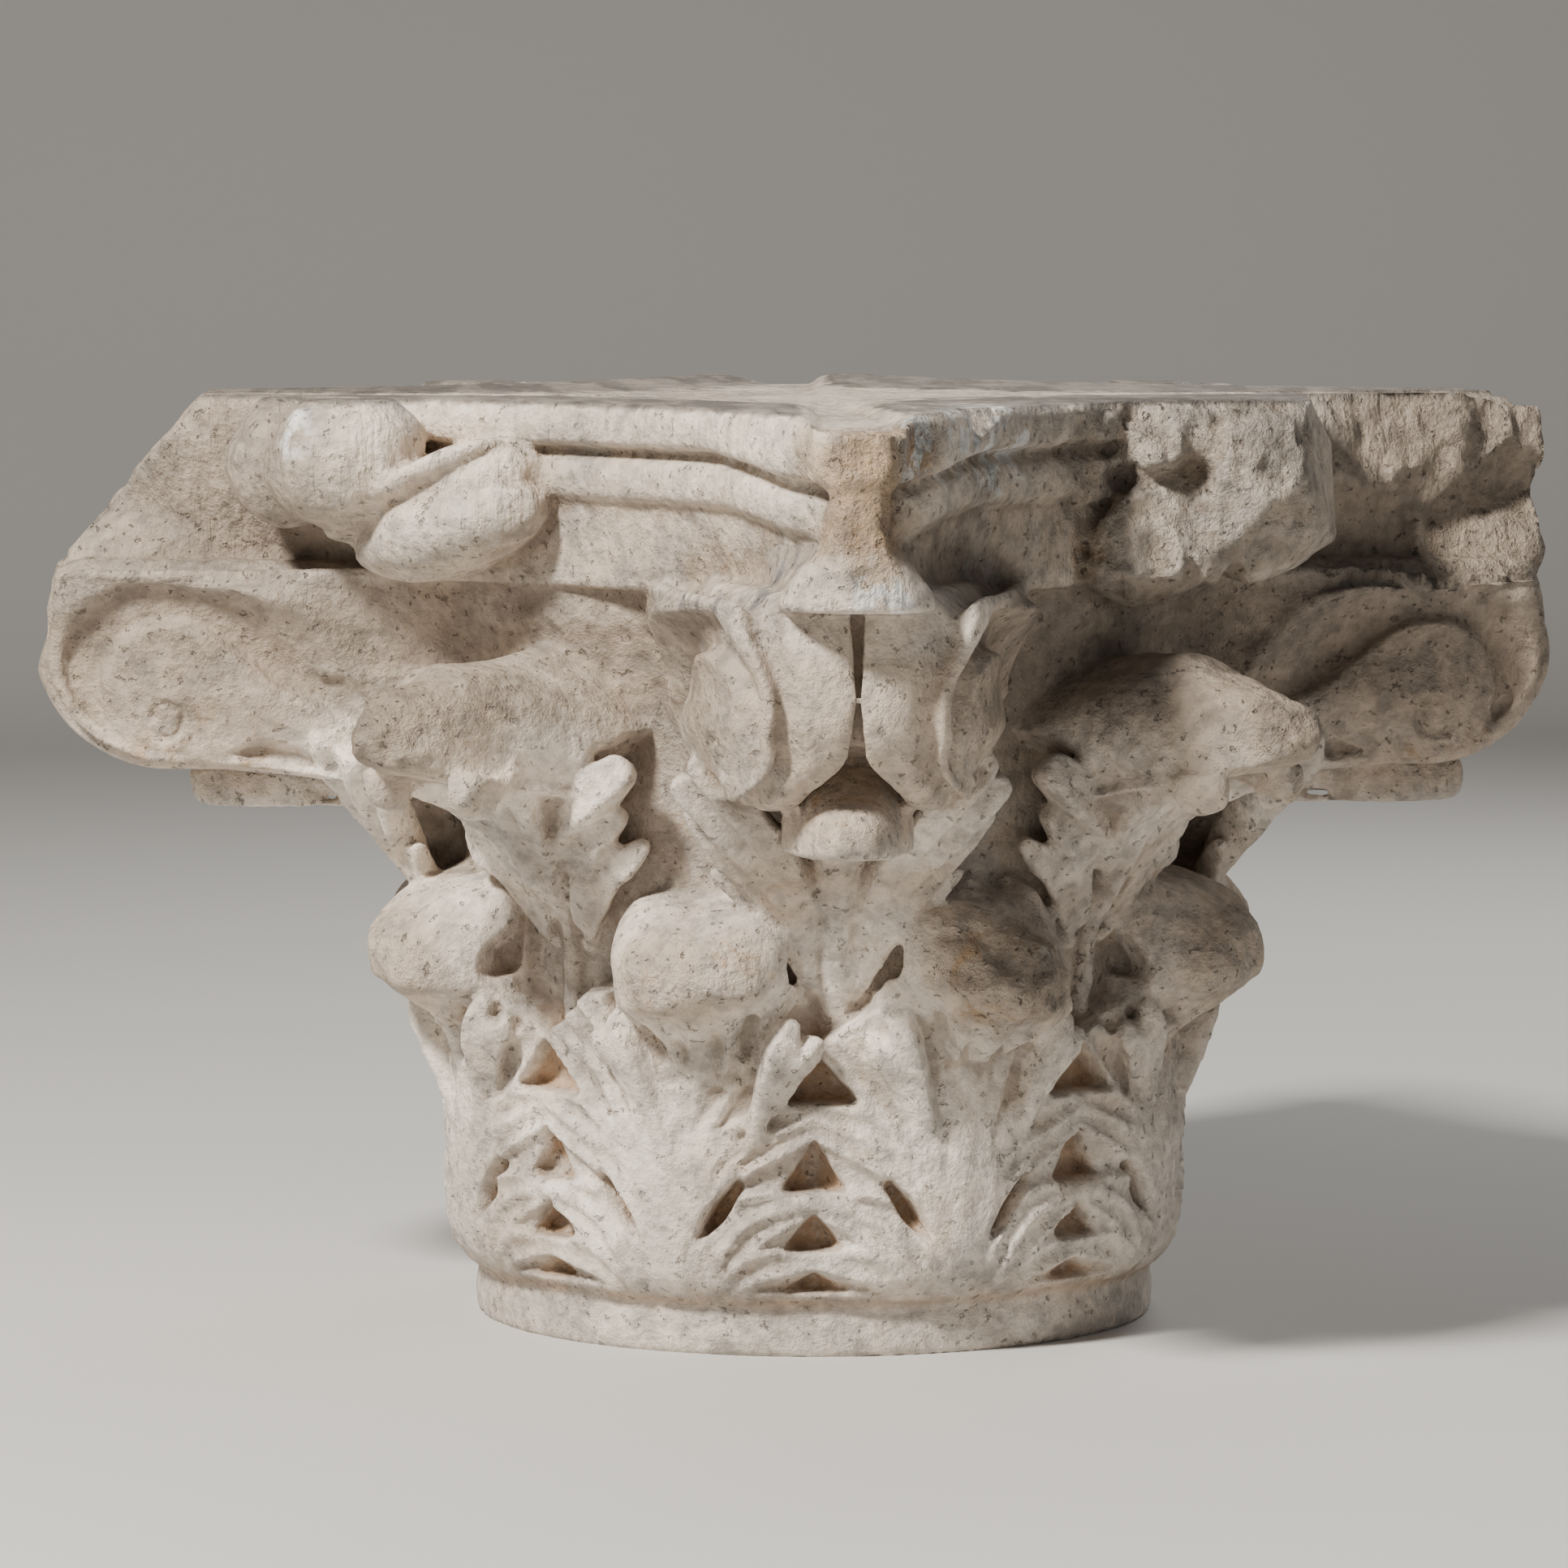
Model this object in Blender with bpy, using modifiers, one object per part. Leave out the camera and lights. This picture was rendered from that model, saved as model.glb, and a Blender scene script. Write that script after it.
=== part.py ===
"""Marble capital of the acanthus kind: a bell with two rows of leaves, corner scrolls and a concave-sided abacus.

It is one block of stone, so the carved forms are modelled apart, fused by a voxel remesh and cut to two flat beds.
Metres, +Z up. The origin is the centre of the lower bed, and one corner of the abacus points to -Y.
"""

from math import cos, pi, radians, sin

import bmesh
import bpy
from mathutils import Matrix, Vector

# Driving sizes of the block
HEIGHT = 0.620
ABACUS_THICKNESS = 0.120
ABACUS_CORNER_REACH = 0.522
ABACUS_SIDE_REACH = 0.293
RING_RADIUS = 0.2285
RING_HEIGHT = 0.030
GROUND_RADIUS = 0.222
LIP_RADIUS = 0.268
LIP_HEIGHT = 0.026
SCROLL_THICKNESS = 0.056
SCROLL_ROUNDING = 0.012
COIL_RADIUS = 0.050
COIL_BACK = 0.090
LEAF_PROUD = 0.030

# The mesh that fuses the block
VOXEL = 0.0075
FACES_WANTED = 9400
BED_SPARE = 0.012

# The layout, in which angles run from -Y towards +X
CORNERS = 4
LEAVES_IN_ROW = 8
LOWER_ROW_TURN = radians(-3.2)
SCROLL_SPLAY = radians(16)
BELL_TOP = HEIGHT - ABACUS_THICKNESS
CORNER_ANGLES = [k * 2 * pi / CORNERS for k in range(CORNERS)]
SIDE_ANGLES = [angle + pi / CORNERS for angle in CORNER_ANGLES]
BROKEN_ROSETTE = 0
OFF_CENTRE_ROSETTE = 3
ROSETTE_CENTRING = 0.090
SCROLL_TIPS_BACK = [0.012, 0.012, 0.012, -0.002]

# The lost stone: where the -X corner slants away at its top, and where the +X one has snapped
SLANT_START = 0.405
SLANT_ANGLE = radians(-49.5)
SNAP_REACH = 0.486
SNAP_TURN = radians(12)

# Half a side of the abacus in plan, from the tip of a horn to the middle of the side: across and out, as shares
# of the corner's reach
ABACUS_PLAN = [
    (0.0, 1.0), (0.040, 0.993), (0.062, 0.955), (0.086, 0.90), (0.114, 0.83), (0.150, 0.757), (0.200, 0.655),
    (0.285, 0.525),
]

# Leaf paths: how far out of the bell, as a share of the corner's overhang, and how high, as a share of the bell
OVERHANG = ABACUS_CORNER_REACH - RING_RADIUS
LOWER_LEAF = [
    (0.00, 0.055), (0.05, 0.110), (0.085, 0.22), (0.09, 0.32), (0.10, 0.385),
    (0.19, 0.425), (0.275, 0.465), (0.295, 0.515), (0.245, 0.560), (0.16, 0.595), (0.02, 0.63),
]
LOWER_LEAF_WIDTHS = [1.0, 0.98, 0.96, 0.93, 0.84, 0.68, 0.60, 0.58, 0.58, 0.54, 0.5]
SIDE_LEAF = [
    (0.03, 0.42), (0.06, 0.50), (0.10, 0.56), (0.15, 0.615), (0.21, 0.665), (0.29, 0.712), (0.37, 0.744),
    (0.50, 0.764), (0.62, 0.778), (0.687, 0.808), (0.66, 0.85), (0.55, 0.885), (0.38, 0.905), (0.10, 0.905),
]
SIDE_LEAF_WIDTHS = [0.26, 0.34, 0.48, 0.62, 0.74, 0.80, 0.78, 0.70, 0.60, 0.54, 0.58, 0.66, 0.72, 0.66]
CORNER_LEAF = [
    (0.02, 0.40), (0.06, 0.48), (0.114, 0.548), (0.1755, 0.612), (0.237, 0.658), (0.298, 0.694), (0.356, 0.718),
    (0.465, 0.726), (0.571, 0.712), (0.66, 0.704), (0.73, 0.712), (0.74, 0.745), (0.64, 0.80), (0.42, 0.87),
    (0.15, 0.92),
]
CORNER_LEAF_WIDTHS = [
    0.26, 0.36, 0.50, 0.66, 0.80, 0.88, 0.84, 0.66, 0.48, 0.40, 0.36, 0.36, 0.52, 0.82, 0.90,
]


def smooth_path(values, count):
    """Equal steps along a Catmull-Rom curve through the values, which are numbers or vectors."""
    ends = [2 * values[0] - values[1]], [2 * values[-1] - values[-2]]
    padded = ends[0] + values + ends[1]
    found = []
    for step in range(count):
        place = step / (count - 1) * (len(values) - 1)
        span = min(int(place), len(values) - 2)
        t = place - span
        a, b, c, d = padded[span : span + 4]
        bend = (2 * a - 5 * b + 4 * c - d) * t**2 + (3 * b - a - 3 * c + d) * t**3
        found.append(0.5 * (2 * b + (c - a) * t + bend))
    return found


def around_axis(radius, angle, height):
    """The point at a radius and height, at an angle from -Y towards +X."""
    return Vector((radius * sin(angle), -radius * cos(angle), height))


def new_object(name, mesh, collection):
    """An object of this mesh, linked to the collection."""
    made = bpy.data.objects.new(name, mesh)
    collection.objects.link(made)
    return made


def mesh_from(bm, name):
    """The bmesh as a new mesh."""
    mesh = bpy.data.meshes.new(name)
    bm.to_mesh(mesh)
    bm.free()
    return mesh


def bell(collection):
    """The turned core: a foot ring, the ground behind the leaves and a flaring lip under the abacus."""
    flare = smooth_path([0.0, 0.02, 0.16, 0.55, 1.0], 9)
    lip_foot = BELL_TOP - LIP_HEIGHT
    profile = [(0.0, -BED_SPARE), (RING_RADIUS, -BED_SPARE), (RING_RADIUS, RING_HEIGHT), (GROUND_RADIUS, RING_HEIGHT)]
    for step, share in enumerate(flare):
        height = lip_foot * (0.45 + 0.55 * step / (len(flare) - 1))
        profile.append((GROUND_RADIUS + (LIP_RADIUS - LIP_HEIGHT / 2 - GROUND_RADIUS) * share, height))
    profile += [(LIP_RADIUS, lip_foot), (LIP_RADIUS, BELL_TOP + BED_SPARE), (0.0, BELL_TOP + BED_SPARE)]
    bm = bmesh.new()
    corners = [bm.verts.new((radius, 0, height)) for radius, height in reversed(profile)]
    for a, b in zip(corners, corners[1:]):
        bm.edges.new((a, b))
    made = new_object("bell", mesh_from(bm, "bell"), collection)
    turned = made.modifiers.new("turned", "SCREW")
    turned.steps = turned.render_steps = 96
    turned.use_merge_vertices = True
    turned.merge_threshold = 0.0001
    return made


def abacus_outline(inset):
    """The plan of the abacus drawn in by inset, which fades out towards the horns over the scrolls."""
    shares = ABACUS_PLAN + [(ABACUS_SIDE_REACH / ABACUS_CORNER_REACH * cos(pi / CORNERS),) * 2]
    octant = smooth_path([Vector(share) * ABACUS_CORNER_REACH for share in shares], 15)
    side = octant + [Vector((p.y, p.x)) for p in reversed(octant[1:-1])]
    outline = []
    for corner in CORNER_ANGLES:
        turn = Matrix.Rotation(corner, 2)
        outline += [turn @ Vector((across, -out)) for across, out in side]
    drawn = []
    for i, point in enumerate(outline):
        along = outline[(i + 1) % len(outline)] - outline[i - 1]
        outward = Vector((along.y, -along.x)).normalized()
        near_horn = (point.length - ABACUS_SIDE_REACH) / (ABACUS_CORNER_REACH - ABACUS_SIDE_REACH)
        drawn.append(point - outward * inset * (1 - 0.75 * near_horn))
    return drawn


def abacus(collection):
    """The abacus slab: plans drawn in by its profile, a hollow face under a groove and a plain fillet."""
    profile = [
        (0.0, 0.023), (0.06, 0.021), (0.28, 0.017), (0.46, 0.010), (0.50, 0.004), (0.60, 0.006), (0.68, 0.010),
        (0.74, 0.002), (1.0, 0.0),
    ]
    bm = bmesh.new()
    rings = []
    for share, inset in profile:
        height = BELL_TOP + share * (ABACUS_THICKNESS + BED_SPARE)
        rings.append([bm.verts.new((p.x, p.y, height)) for p in abacus_outline(inset)])
    for lower, upper in zip(rings, rings[1:]):
        for i in range(len(lower)):
            j = (i + 1) % len(lower)
            bm.faces.new((lower[i], lower[j], upper[j], upper[i]))
    bm.faces.new(list(reversed(rings[0])))
    bm.faces.new(rings[-1])
    return new_object("abacus", mesh_from(bm, "abacus"), collection)


def leaf(name, angle, path, widths, root_width, collection):
    """A leaf: a grid bent along its path and round the bell, crowned at its midrib and closed back to the core."""
    columns, rows = 13, 33
    bm = bmesh.new()
    bmesh.ops.create_grid(bm, x_segments=columns - 1, y_segments=rows - 1, size=1)
    centres = smooth_path(
        [Vector((RING_RADIUS + out * OVERHANG, up * BELL_TOP)) for out, up in path], rows
    )
    spans = smooth_path(list(widths), rows)
    for vert in bm.verts:
        across, row = vert.co.x, round((vert.co.y + 1) / 2 * (rows - 1))
        radius, height = centres[row]
        half = root_width * spans[row]
        fall = LEAF_PROUD * 0.5 * across**2
        droop = 0.18 * half * across**2 * min(1.0, max(0.0, (radius - RING_RADIUS) / OVERHANG - 0.1))
        vert.co = around_axis(radius - fall, angle + across * half / radius, height - droop)
    heart_height = (centres[0].y + centres[-1].y) / 2
    heart = bm.verts.new(around_axis(GROUND_RADIUS * 0.7, angle, heart_height))
    for edge in [edge for edge in bm.edges if edge.is_boundary]:
        bm.faces.new((*edge.verts, heart))
    bmesh.ops.recalc_face_normals(bm, faces=bm.faces)
    return new_object(name, mesh_from(bm, name), collection)


def leaves(collection):
    """Both rows: the lower leaves side by side, and the upper ones behind their gaps, at the corners and sides."""
    root = pi / LEAVES_IN_ROW * (RING_RADIUS + 0.09 * OVERHANG)
    made = []
    for k in range(LEAVES_IN_ROW):
        angle = LOWER_ROW_TURN + (k + 0.5) * 2 * pi / LEAVES_IN_ROW
        made.append(leaf(f"lower_leaf_{k}", angle, LOWER_LEAF, LOWER_LEAF_WIDTHS, root, collection))
    for k, angle in enumerate(SIDE_ANGLES):
        made.append(leaf(f"side_leaf_{k}", angle, SIDE_LEAF, SIDE_LEAF_WIDTHS, root, collection))
    for k, angle in enumerate(CORNER_ANGLES):
        made.append(leaf(f"corner_leaf_{k}", angle, CORNER_LEAF, CORNER_LEAF_WIDTHS, root, collection))
    return made


def scroll_outline():
    """The side of a scroll: x runs back from its tip towards the bell, y is the height."""
    reach = ABACUS_CORNER_REACH - GROUND_RADIUS * 0.7
    shares = [
        (1.0, 1.02), (0.05, 1.02), (0.012, 0.975), (0.0, 0.915), (0.01, 0.855), (0.05, 0.79), (0.11, 0.75),
        (0.20, 0.745), (0.36, 0.74), (0.5, 0.73), (0.66, 0.715), (0.8, 0.70), (1.0, 0.69),
    ]
    return [(share * reach, up * BELL_TOP) for share, up in shares]


def scroll_place(corner, side):
    """The frame of a scroll: its tip at the corner, -x back along it, y out through its outer face."""
    back = SCROLL_TIPS_BACK[CORNER_ANGLES.index(corner)]
    return (
        Matrix.Rotation(corner - pi / 2, 4, "Z")
        @ Matrix.Translation((ABACUS_CORNER_REACH - back, side * SCROLL_THICKNESS / 2, 0))
        @ Matrix.Rotation(-side * SCROLL_SPLAY, 4, "Z")
    )


def scroll(name, corner, side, collection):
    """One scroll under a horn: a filled outline extruded with rounded rims, beside the corner's diagonal."""
    curve = bpy.data.curves.new(name, "CURVE")
    curve.dimensions = "2D"
    curve.fill_mode = "BOTH"
    curve.extrude = SCROLL_THICKNESS / 2 - SCROLL_ROUNDING
    curve.bevel_depth = SCROLL_ROUNDING
    curve.bevel_resolution = 2
    curve.offset = -SCROLL_ROUNDING
    spline = curve.splines.new("POLY")
    outline = scroll_outline()
    spline.points.add(len(outline) - 1)
    for point, (back, up) in zip(spline.points, outline):
        point.co = (-back, up, 0, 1)
    spline.use_cyclic_u = True
    flat = new_object(name, curve, collection)
    bpy.context.view_layer.update()
    evaluated = flat.evaluated_get(bpy.context.evaluated_depsgraph_get())
    bm = bmesh.new()
    bm.from_mesh(bpy.data.meshes.new_from_object(evaluated))
    bmesh.ops.remove_doubles(bm, verts=bm.verts, dist=0.00001)
    bm.transform(scroll_place(corner, side) @ Matrix.Rotation(pi / 2, 4, "X"))
    bpy.data.objects.remove(flat)
    return new_object(name, mesh_from(bm, name), collection)


def coil(name, corner, side, collection):
    """The coil on the outer face of a scroll, a tapered disc with a domed eye."""
    bm = bmesh.new()
    bmesh.ops.create_cone(
        bm, segments=24, radius1=COIL_RADIUS, radius2=COIL_RADIUS * 0.84, depth=SCROLL_THICKNESS * 0.5, cap_ends=True
    )
    dome = bmesh.ops.create_uvsphere(bm, u_segments=16, v_segments=8, radius=COIL_RADIUS * 0.5)["verts"]
    bmesh.ops.translate(bm, vec=(0, 0, SCROLL_THICKNESS * 0.12), verts=dome)
    place = Matrix.Translation((-COIL_BACK, side * SCROLL_THICKNESS * 0.62, 0.855 * BELL_TOP))
    bm.transform(scroll_place(corner, side) @ place @ Matrix.Rotation(-side * pi / 2, 4, "X"))
    return new_object(name, mesh_from(bm, name), collection)


def corner_core(name, corner, collection):
    """The stone between the two scrolls of a corner, the hull of a wedge that widens into the bell."""
    tip, root = ABACUS_CORNER_REACH * 0.96, GROUND_RADIUS * 0.8
    bm = bmesh.new()
    for reach, half, low in ((tip, SCROLL_THICKNESS * 0.35, 0.80), (root, SCROLL_THICKNESS * 2.2, 0.70)):
        for across in (-half, half):
            for height in (low * BELL_TOP, BELL_TOP + BED_SPARE):
                bm.verts.new((across, -reach, height))
    bmesh.ops.convex_hull(bm, input=bm.verts)
    bm.transform(Matrix.Rotation(corner, 4, "Z"))
    return new_object(name, mesh_from(bm, name), collection)


def corners(collection):
    """The scrolls, their coils and the stone between them, at each corner."""
    made = []
    for k, corner in enumerate(CORNER_ANGLES):
        made.append(corner_core(f"corner_core_{k}", corner, collection))
        for side, word in ((-1, "left"), (1, "right")):
            made.append(scroll(f"scroll_{k}_{word}", corner, side, collection))
            made.append(coil(f"coil_{k}_{word}", corner, side, collection))
    return made


def rosette(index, angle, collection):
    """The worn flower in the middle of a side: two lobes, or the uneven stump where the broken one came away."""
    lobes = [
        (0.020, -0.108, 0.70, (0.058, 0.048, 0.041)),
        (0.020, -0.058, 0.43, (0.066, 0.044, 0.038)),
        (0.034, -0.150, 0.66, (0.046, 0.040, 0.038)),
    ]
    shift = 0.0 if index == OFF_CENTRE_ROSETTE else ROSETTE_CENTRING
    if index == BROKEN_ROSETTE:
        shift = 0.0
        lobes = [
            (0.018, 0.082, 0.60, (0.082, 0.054, 0.066)),
            (0.000, 0.020, 0.34, (0.074, 0.044, 0.044)),
        ]
    bm = bmesh.new()
    for out, across, up, radii in lobes:
        found = bmesh.ops.create_uvsphere(bm, u_segments=20, v_segments=12, radius=1)["verts"]
        bmesh.ops.scale(bm, vec=radii, verts=found)
        centre = (across + shift, -(ABACUS_SIDE_REACH + out), BELL_TOP + up * ABACUS_THICKNESS)
        bmesh.ops.translate(bm, vec=centre, verts=found)
    bm.transform(Matrix.Rotation(angle, 4, "Z"))
    return new_object(f"rosette_{index}", mesh_from(bm, f"rosette_{index}"), collection)


def cutter(name, size, place, collection):
    """A box that only cuts or keeps stone, shown as wire and left out of renders."""
    bm = bmesh.new()
    bmesh.ops.create_cube(bm, size=1)
    bmesh.ops.scale(bm, vec=size, verts=bm.verts)
    bm.transform(place)
    made = new_object(name, mesh_from(bm, name), collection)
    made.hide_render = True
    made.display_type = "WIRE"
    return made


def breaks(collection):
    """Cutters for the lost stone: the slanting top of the -X corner and the snapped end of the +X one."""
    wide = 2 * ABACUS_CORNER_REACH
    slant = (
        Matrix.Translation((-SLANT_START, 0, HEIGHT))
        @ Matrix.Rotation(SLANT_ANGLE, 4, "Y")
        @ Matrix.Translation((-wide / 2, 0, wide / 2))
    )
    snapped = (
        Matrix.Translation((SNAP_REACH, 0, BELL_TOP))
        @ Matrix.Rotation(SNAP_TURN, 4, "Z")
        @ Matrix.Translation((wide / 2, 0, 0))
    )
    return [
        cutter("lost_top", (wide, wide, wide), slant, collection),
        cutter("lost_horn", (wide, wide, wide), snapped, collection),
    ]


def fuse(name, pieces, collection):
    """One mesh of all the pieces as their modifiers leave them, remeshed into a single skin of few faces."""
    bpy.context.view_layer.update()
    graph = bpy.context.evaluated_depsgraph_get()
    bm = bmesh.new()
    for piece in pieces:
        mesh = bpy.data.meshes.new_from_object(piece.evaluated_get(graph))
        bm.from_mesh(mesh)
        bpy.data.meshes.remove(mesh)
        bpy.data.objects.remove(piece)
    made = new_object(name, mesh_from(bm, name), collection)
    skin = made.modifiers.new("one_skin", "REMESH")
    skin.mode = "VOXEL"
    skin.voxel_size = VOXEL
    bpy.context.view_layer.update()
    found = len(made.evaluated_get(bpy.context.evaluated_depsgraph_get()).data.polygons)
    fewer = made.modifiers.new("fewer_faces", "DECIMATE")
    fewer.ratio = FACES_WANTED / (2 * found)
    return made


def cut(block, tool, operation):
    """A Boolean of the block with one tool."""
    step = block.modifiers.new(tool.name, "BOOLEAN")
    step.operation = operation
    step.object = tool


def marble():
    """Pale weathered marble."""
    material = bpy.data.materials.new("marble")
    material.use_nodes = True
    shader = material.node_tree.nodes["Principled BSDF"]
    shader.inputs["Base Color"].default_value = (0.52, 0.47, 0.40, 1)
    shader.inputs["Roughness"].default_value = 0.72
    shader.inputs["Metallic"].default_value = 0.0
    return material


def main():
    """Builds the capital as one object."""
    for old in list(bpy.data.objects):
        bpy.data.objects.remove(old)
    stone = bpy.data.collections.new("capital")
    tools = bpy.data.collections.new("cutters")
    for collection in (stone, tools):
        bpy.context.scene.collection.children.link(collection)
    pieces = [bell(stone), abacus(stone)] + leaves(stone) + corners(stone)
    pieces += [rosette(k, angle, stone) for k, angle in enumerate(SIDE_ANGLES)]
    block = fuse("capital", pieces, stone)
    wide = 3 * ABACUS_CORNER_REACH
    beds = cutter("beds", (wide, wide, HEIGHT), Matrix.Translation((0, 0, HEIGHT / 2)), tools)
    cut(block, beds, "INTERSECT")
    for tool in breaks(tools):
        cut(block, tool, "DIFFERENCE")
    block.data.materials.append(marble())
    block.data.shade_smooth()
    block.data.set_sharp_from_angle(angle=radians(35))


main()
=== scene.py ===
"""Dresses the marble capital as one weathered block, and adds its stone, floor, lights and camera.

Metres, +Z up. The origin is the centre of the lower bed, and the whole horn of the abacus points to -Y.
"""

from __future__ import annotations

import logging
from dataclasses import dataclass
from enum import Enum
from math import cos, pi, radians, sin
from typing import Any, Sequence

import bpy
import numpy as np
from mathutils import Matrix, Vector

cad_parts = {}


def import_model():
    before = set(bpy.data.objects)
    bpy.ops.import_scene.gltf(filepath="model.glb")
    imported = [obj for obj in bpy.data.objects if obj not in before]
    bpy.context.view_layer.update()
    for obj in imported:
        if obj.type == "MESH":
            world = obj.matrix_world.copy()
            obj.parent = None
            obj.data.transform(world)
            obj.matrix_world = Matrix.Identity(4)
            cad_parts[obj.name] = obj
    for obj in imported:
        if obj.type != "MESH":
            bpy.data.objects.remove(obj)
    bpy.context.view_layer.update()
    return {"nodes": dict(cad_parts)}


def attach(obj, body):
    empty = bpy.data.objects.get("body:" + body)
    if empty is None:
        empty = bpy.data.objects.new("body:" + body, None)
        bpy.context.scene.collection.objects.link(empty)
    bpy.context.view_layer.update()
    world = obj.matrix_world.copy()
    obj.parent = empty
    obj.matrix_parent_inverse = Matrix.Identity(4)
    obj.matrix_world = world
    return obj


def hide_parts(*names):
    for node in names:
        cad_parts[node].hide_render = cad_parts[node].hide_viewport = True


LOG = logging.getLogger("capital")
Array = np.ndarray
Pair = tuple[float, float]
Triple = tuple[float, float, float]
Series = tuple[float, ...]
Course = tuple[Pair, ...]


@dataclass(frozen=True)
class Block:
    """The sizes that every form of the block shares, as in the part's source."""

    height: float = 0.620
    abacus_thickness: float = 0.120
    corner_reach: float = 0.522
    side_reach: float = 0.293
    ring_radius: float = 0.2285
    ground_radius: float = 0.222
    scroll_thickness: float = 0.056
    scroll_splay: float = radians(16)
    corners: int = 4
    leaves_in_row: int = 8
    lower_row_turn: float = radians(-3.2)
    broken_rosette: int = 0

    @property
    def bell_top(self) -> float:
        """The height of the bell, where the abacus starts."""
        return self.height - self.abacus_thickness

    @property
    def overhang(self) -> float:
        """How far the corners reach past the foot ring."""
        return self.corner_reach - self.ring_radius

    @property
    def corner_angles(self) -> list[float]:
        """The angle of each corner, from -Y towards +X."""
        return [k * 2 * pi / self.corners for k in range(self.corners)]

    @property
    def side_angles(self) -> list[float]:
        """The angle of the middle of each side."""
        return [angle + pi / self.corners for angle in self.corner_angles]


BLOCK = Block()


class Wear(Enum):
    """How worn a form is: the size of its lumps in metres."""

    SOFTENED = 0.0030
    WORN = 0.0055
    RAGGED = 0.0080
    BROKEN = 0.0100


def smooth_path(points: Sequence[Sequence[float]], count: int) -> Array:
    """Even steps in parameter along a Catmull-Rom curve through the points.

    Args:
        points: The points that the curve passes through.
        count: How many steps to give.

    Returns:
        An array of count rows.
    """
    given = np.asarray(points, float)
    padded = np.vstack([2 * given[:1] - given[1:2], given, 2 * given[-1:] - given[-2:-1]])
    place = np.linspace(0, len(given) - 1, count)
    span = np.minimum(place.astype(int), len(given) - 2)
    t = (place - span)[:, None]
    a, b, c, d = (padded[span + k] for k in range(4))
    return 0.5 * (2 * b + (c - a) * t + (2 * a - 5 * b + 4 * c - d) * t**2 + (3 * b - a - 3 * c + d) * t**3)


def rise(value: Array, start: float, end: float) -> Array:
    """A smooth step: 0 before start, 1 after end, and 3t^2 - 2t^3 between them."""
    t = np.clip((value - start) / (end - start), 0, 1)
    return t * t * (3 - 2 * t)


def band(value: Array, start: float, full: float, fading: float, end: float) -> Array:
    """0 before start, 1 from full to fading and 0 after end, with smooth steps between."""
    return rise(value, start, full) * (1 - rise(value, fading, end))


def around_axis(radius: Array, angle: Array, height: Array) -> Array:
    """Points at a radius and height, at an angle from -Y towards +X: (r sin a, -r cos a, z)."""
    radius, angle, height = np.broadcast_arrays(radius, angle, height)
    return np.stack([radius * np.sin(angle), -radius * np.cos(angle), height], axis=-1)


def axes(angle: float) -> tuple[Array, Array]:
    """The outward and rightward directions at an angle."""
    return around_axis(1.0, angle, 0.0), around_axis(1.0, angle + pi / 2, 0.0)


def full_turn(steps: int) -> Array:
    """Even angles round a full turn, as one row."""
    return np.linspace(0, 2 * pi, steps, endpoint=False)[None]


def lumps(points: Array, size: float, octaves: int = 3, seed: int = 0) -> Array:
    """Seeded value noise from about -1 to 1: random numbers on a lattice, blended, in halving octaves.

    Args:
        points: Positions, with x, y, z last.
        size: The width of the largest lumps, in metres.
        octaves: How many finer copies are added, each of half the size and half the height.
        seed: Which pattern.

    Returns:
        One number for each position.
    """
    total = np.zeros(points.shape[:-1])
    strength = 1.0
    for octave in range(octaves):
        place = points / size * 2**octave + 17.3 * octave
        cell = np.floor(place).astype(np.int64)
        t = place - cell
        t = t * t * (3 - 2 * t)
        for corner in range(8):
            offset = np.array([corner & 1, corner >> 1 & 1, corner >> 2 & 1])
            near = cell + offset
            mixed = near[..., 0] * 73856093 ^ near[..., 1] * 19349663 ^ near[..., 2] * 83492791
            mixed = (mixed + seed * 2654435761) & 0xFFFFFFFF
            mixed = ((mixed ^ mixed >> 15) * 2246822519) & 0xFFFFFFFF
            mixed = ((mixed ^ mixed >> 13) * 3266489917) & 0xFFFFFFFF
            value = (mixed ^ mixed >> 16) / 0xFFFFFFFF * 2 - 1
            weight = np.prod(np.where(offset, t, 1 - t), axis=-1)
            total += strength * weight * value
        strength *= 0.5
    return total


def quads_of(index: Array) -> Array:
    """The quads between neighbouring entries of a grid of point numbers."""
    return np.stack([index[:-1, :-1], index[:-1, 1:], index[1:, 1:], index[1:, :-1]], axis=-1).reshape(-1, 4)


def rim_of(grid: Array) -> Array:
    """The entries round the edge of a grid, in order."""
    return np.concatenate([grid[0, :-1], grid[:-1, -1], grid[-1, :0:-1], grid[:0:-1, 0]])


def fan(rim: Array, middle: int) -> Array:
    """Triangles from each step of a rim to one point, written as quads whose last two points agree."""
    hub = np.full(len(rim), middle)
    return np.stack([np.roll(rim, -1), rim, hub, hub], axis=-1)


def point_values(mesh: bpy.types.Mesh, name: str) -> Array:
    """One vector property of a mesh's points, such as co or normal."""
    values = np.empty(len(mesh.vertices) * 3, np.float32)
    mesh.vertices.foreach_get(name, values)
    return values.reshape(-1, 3).astype(float)


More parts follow.
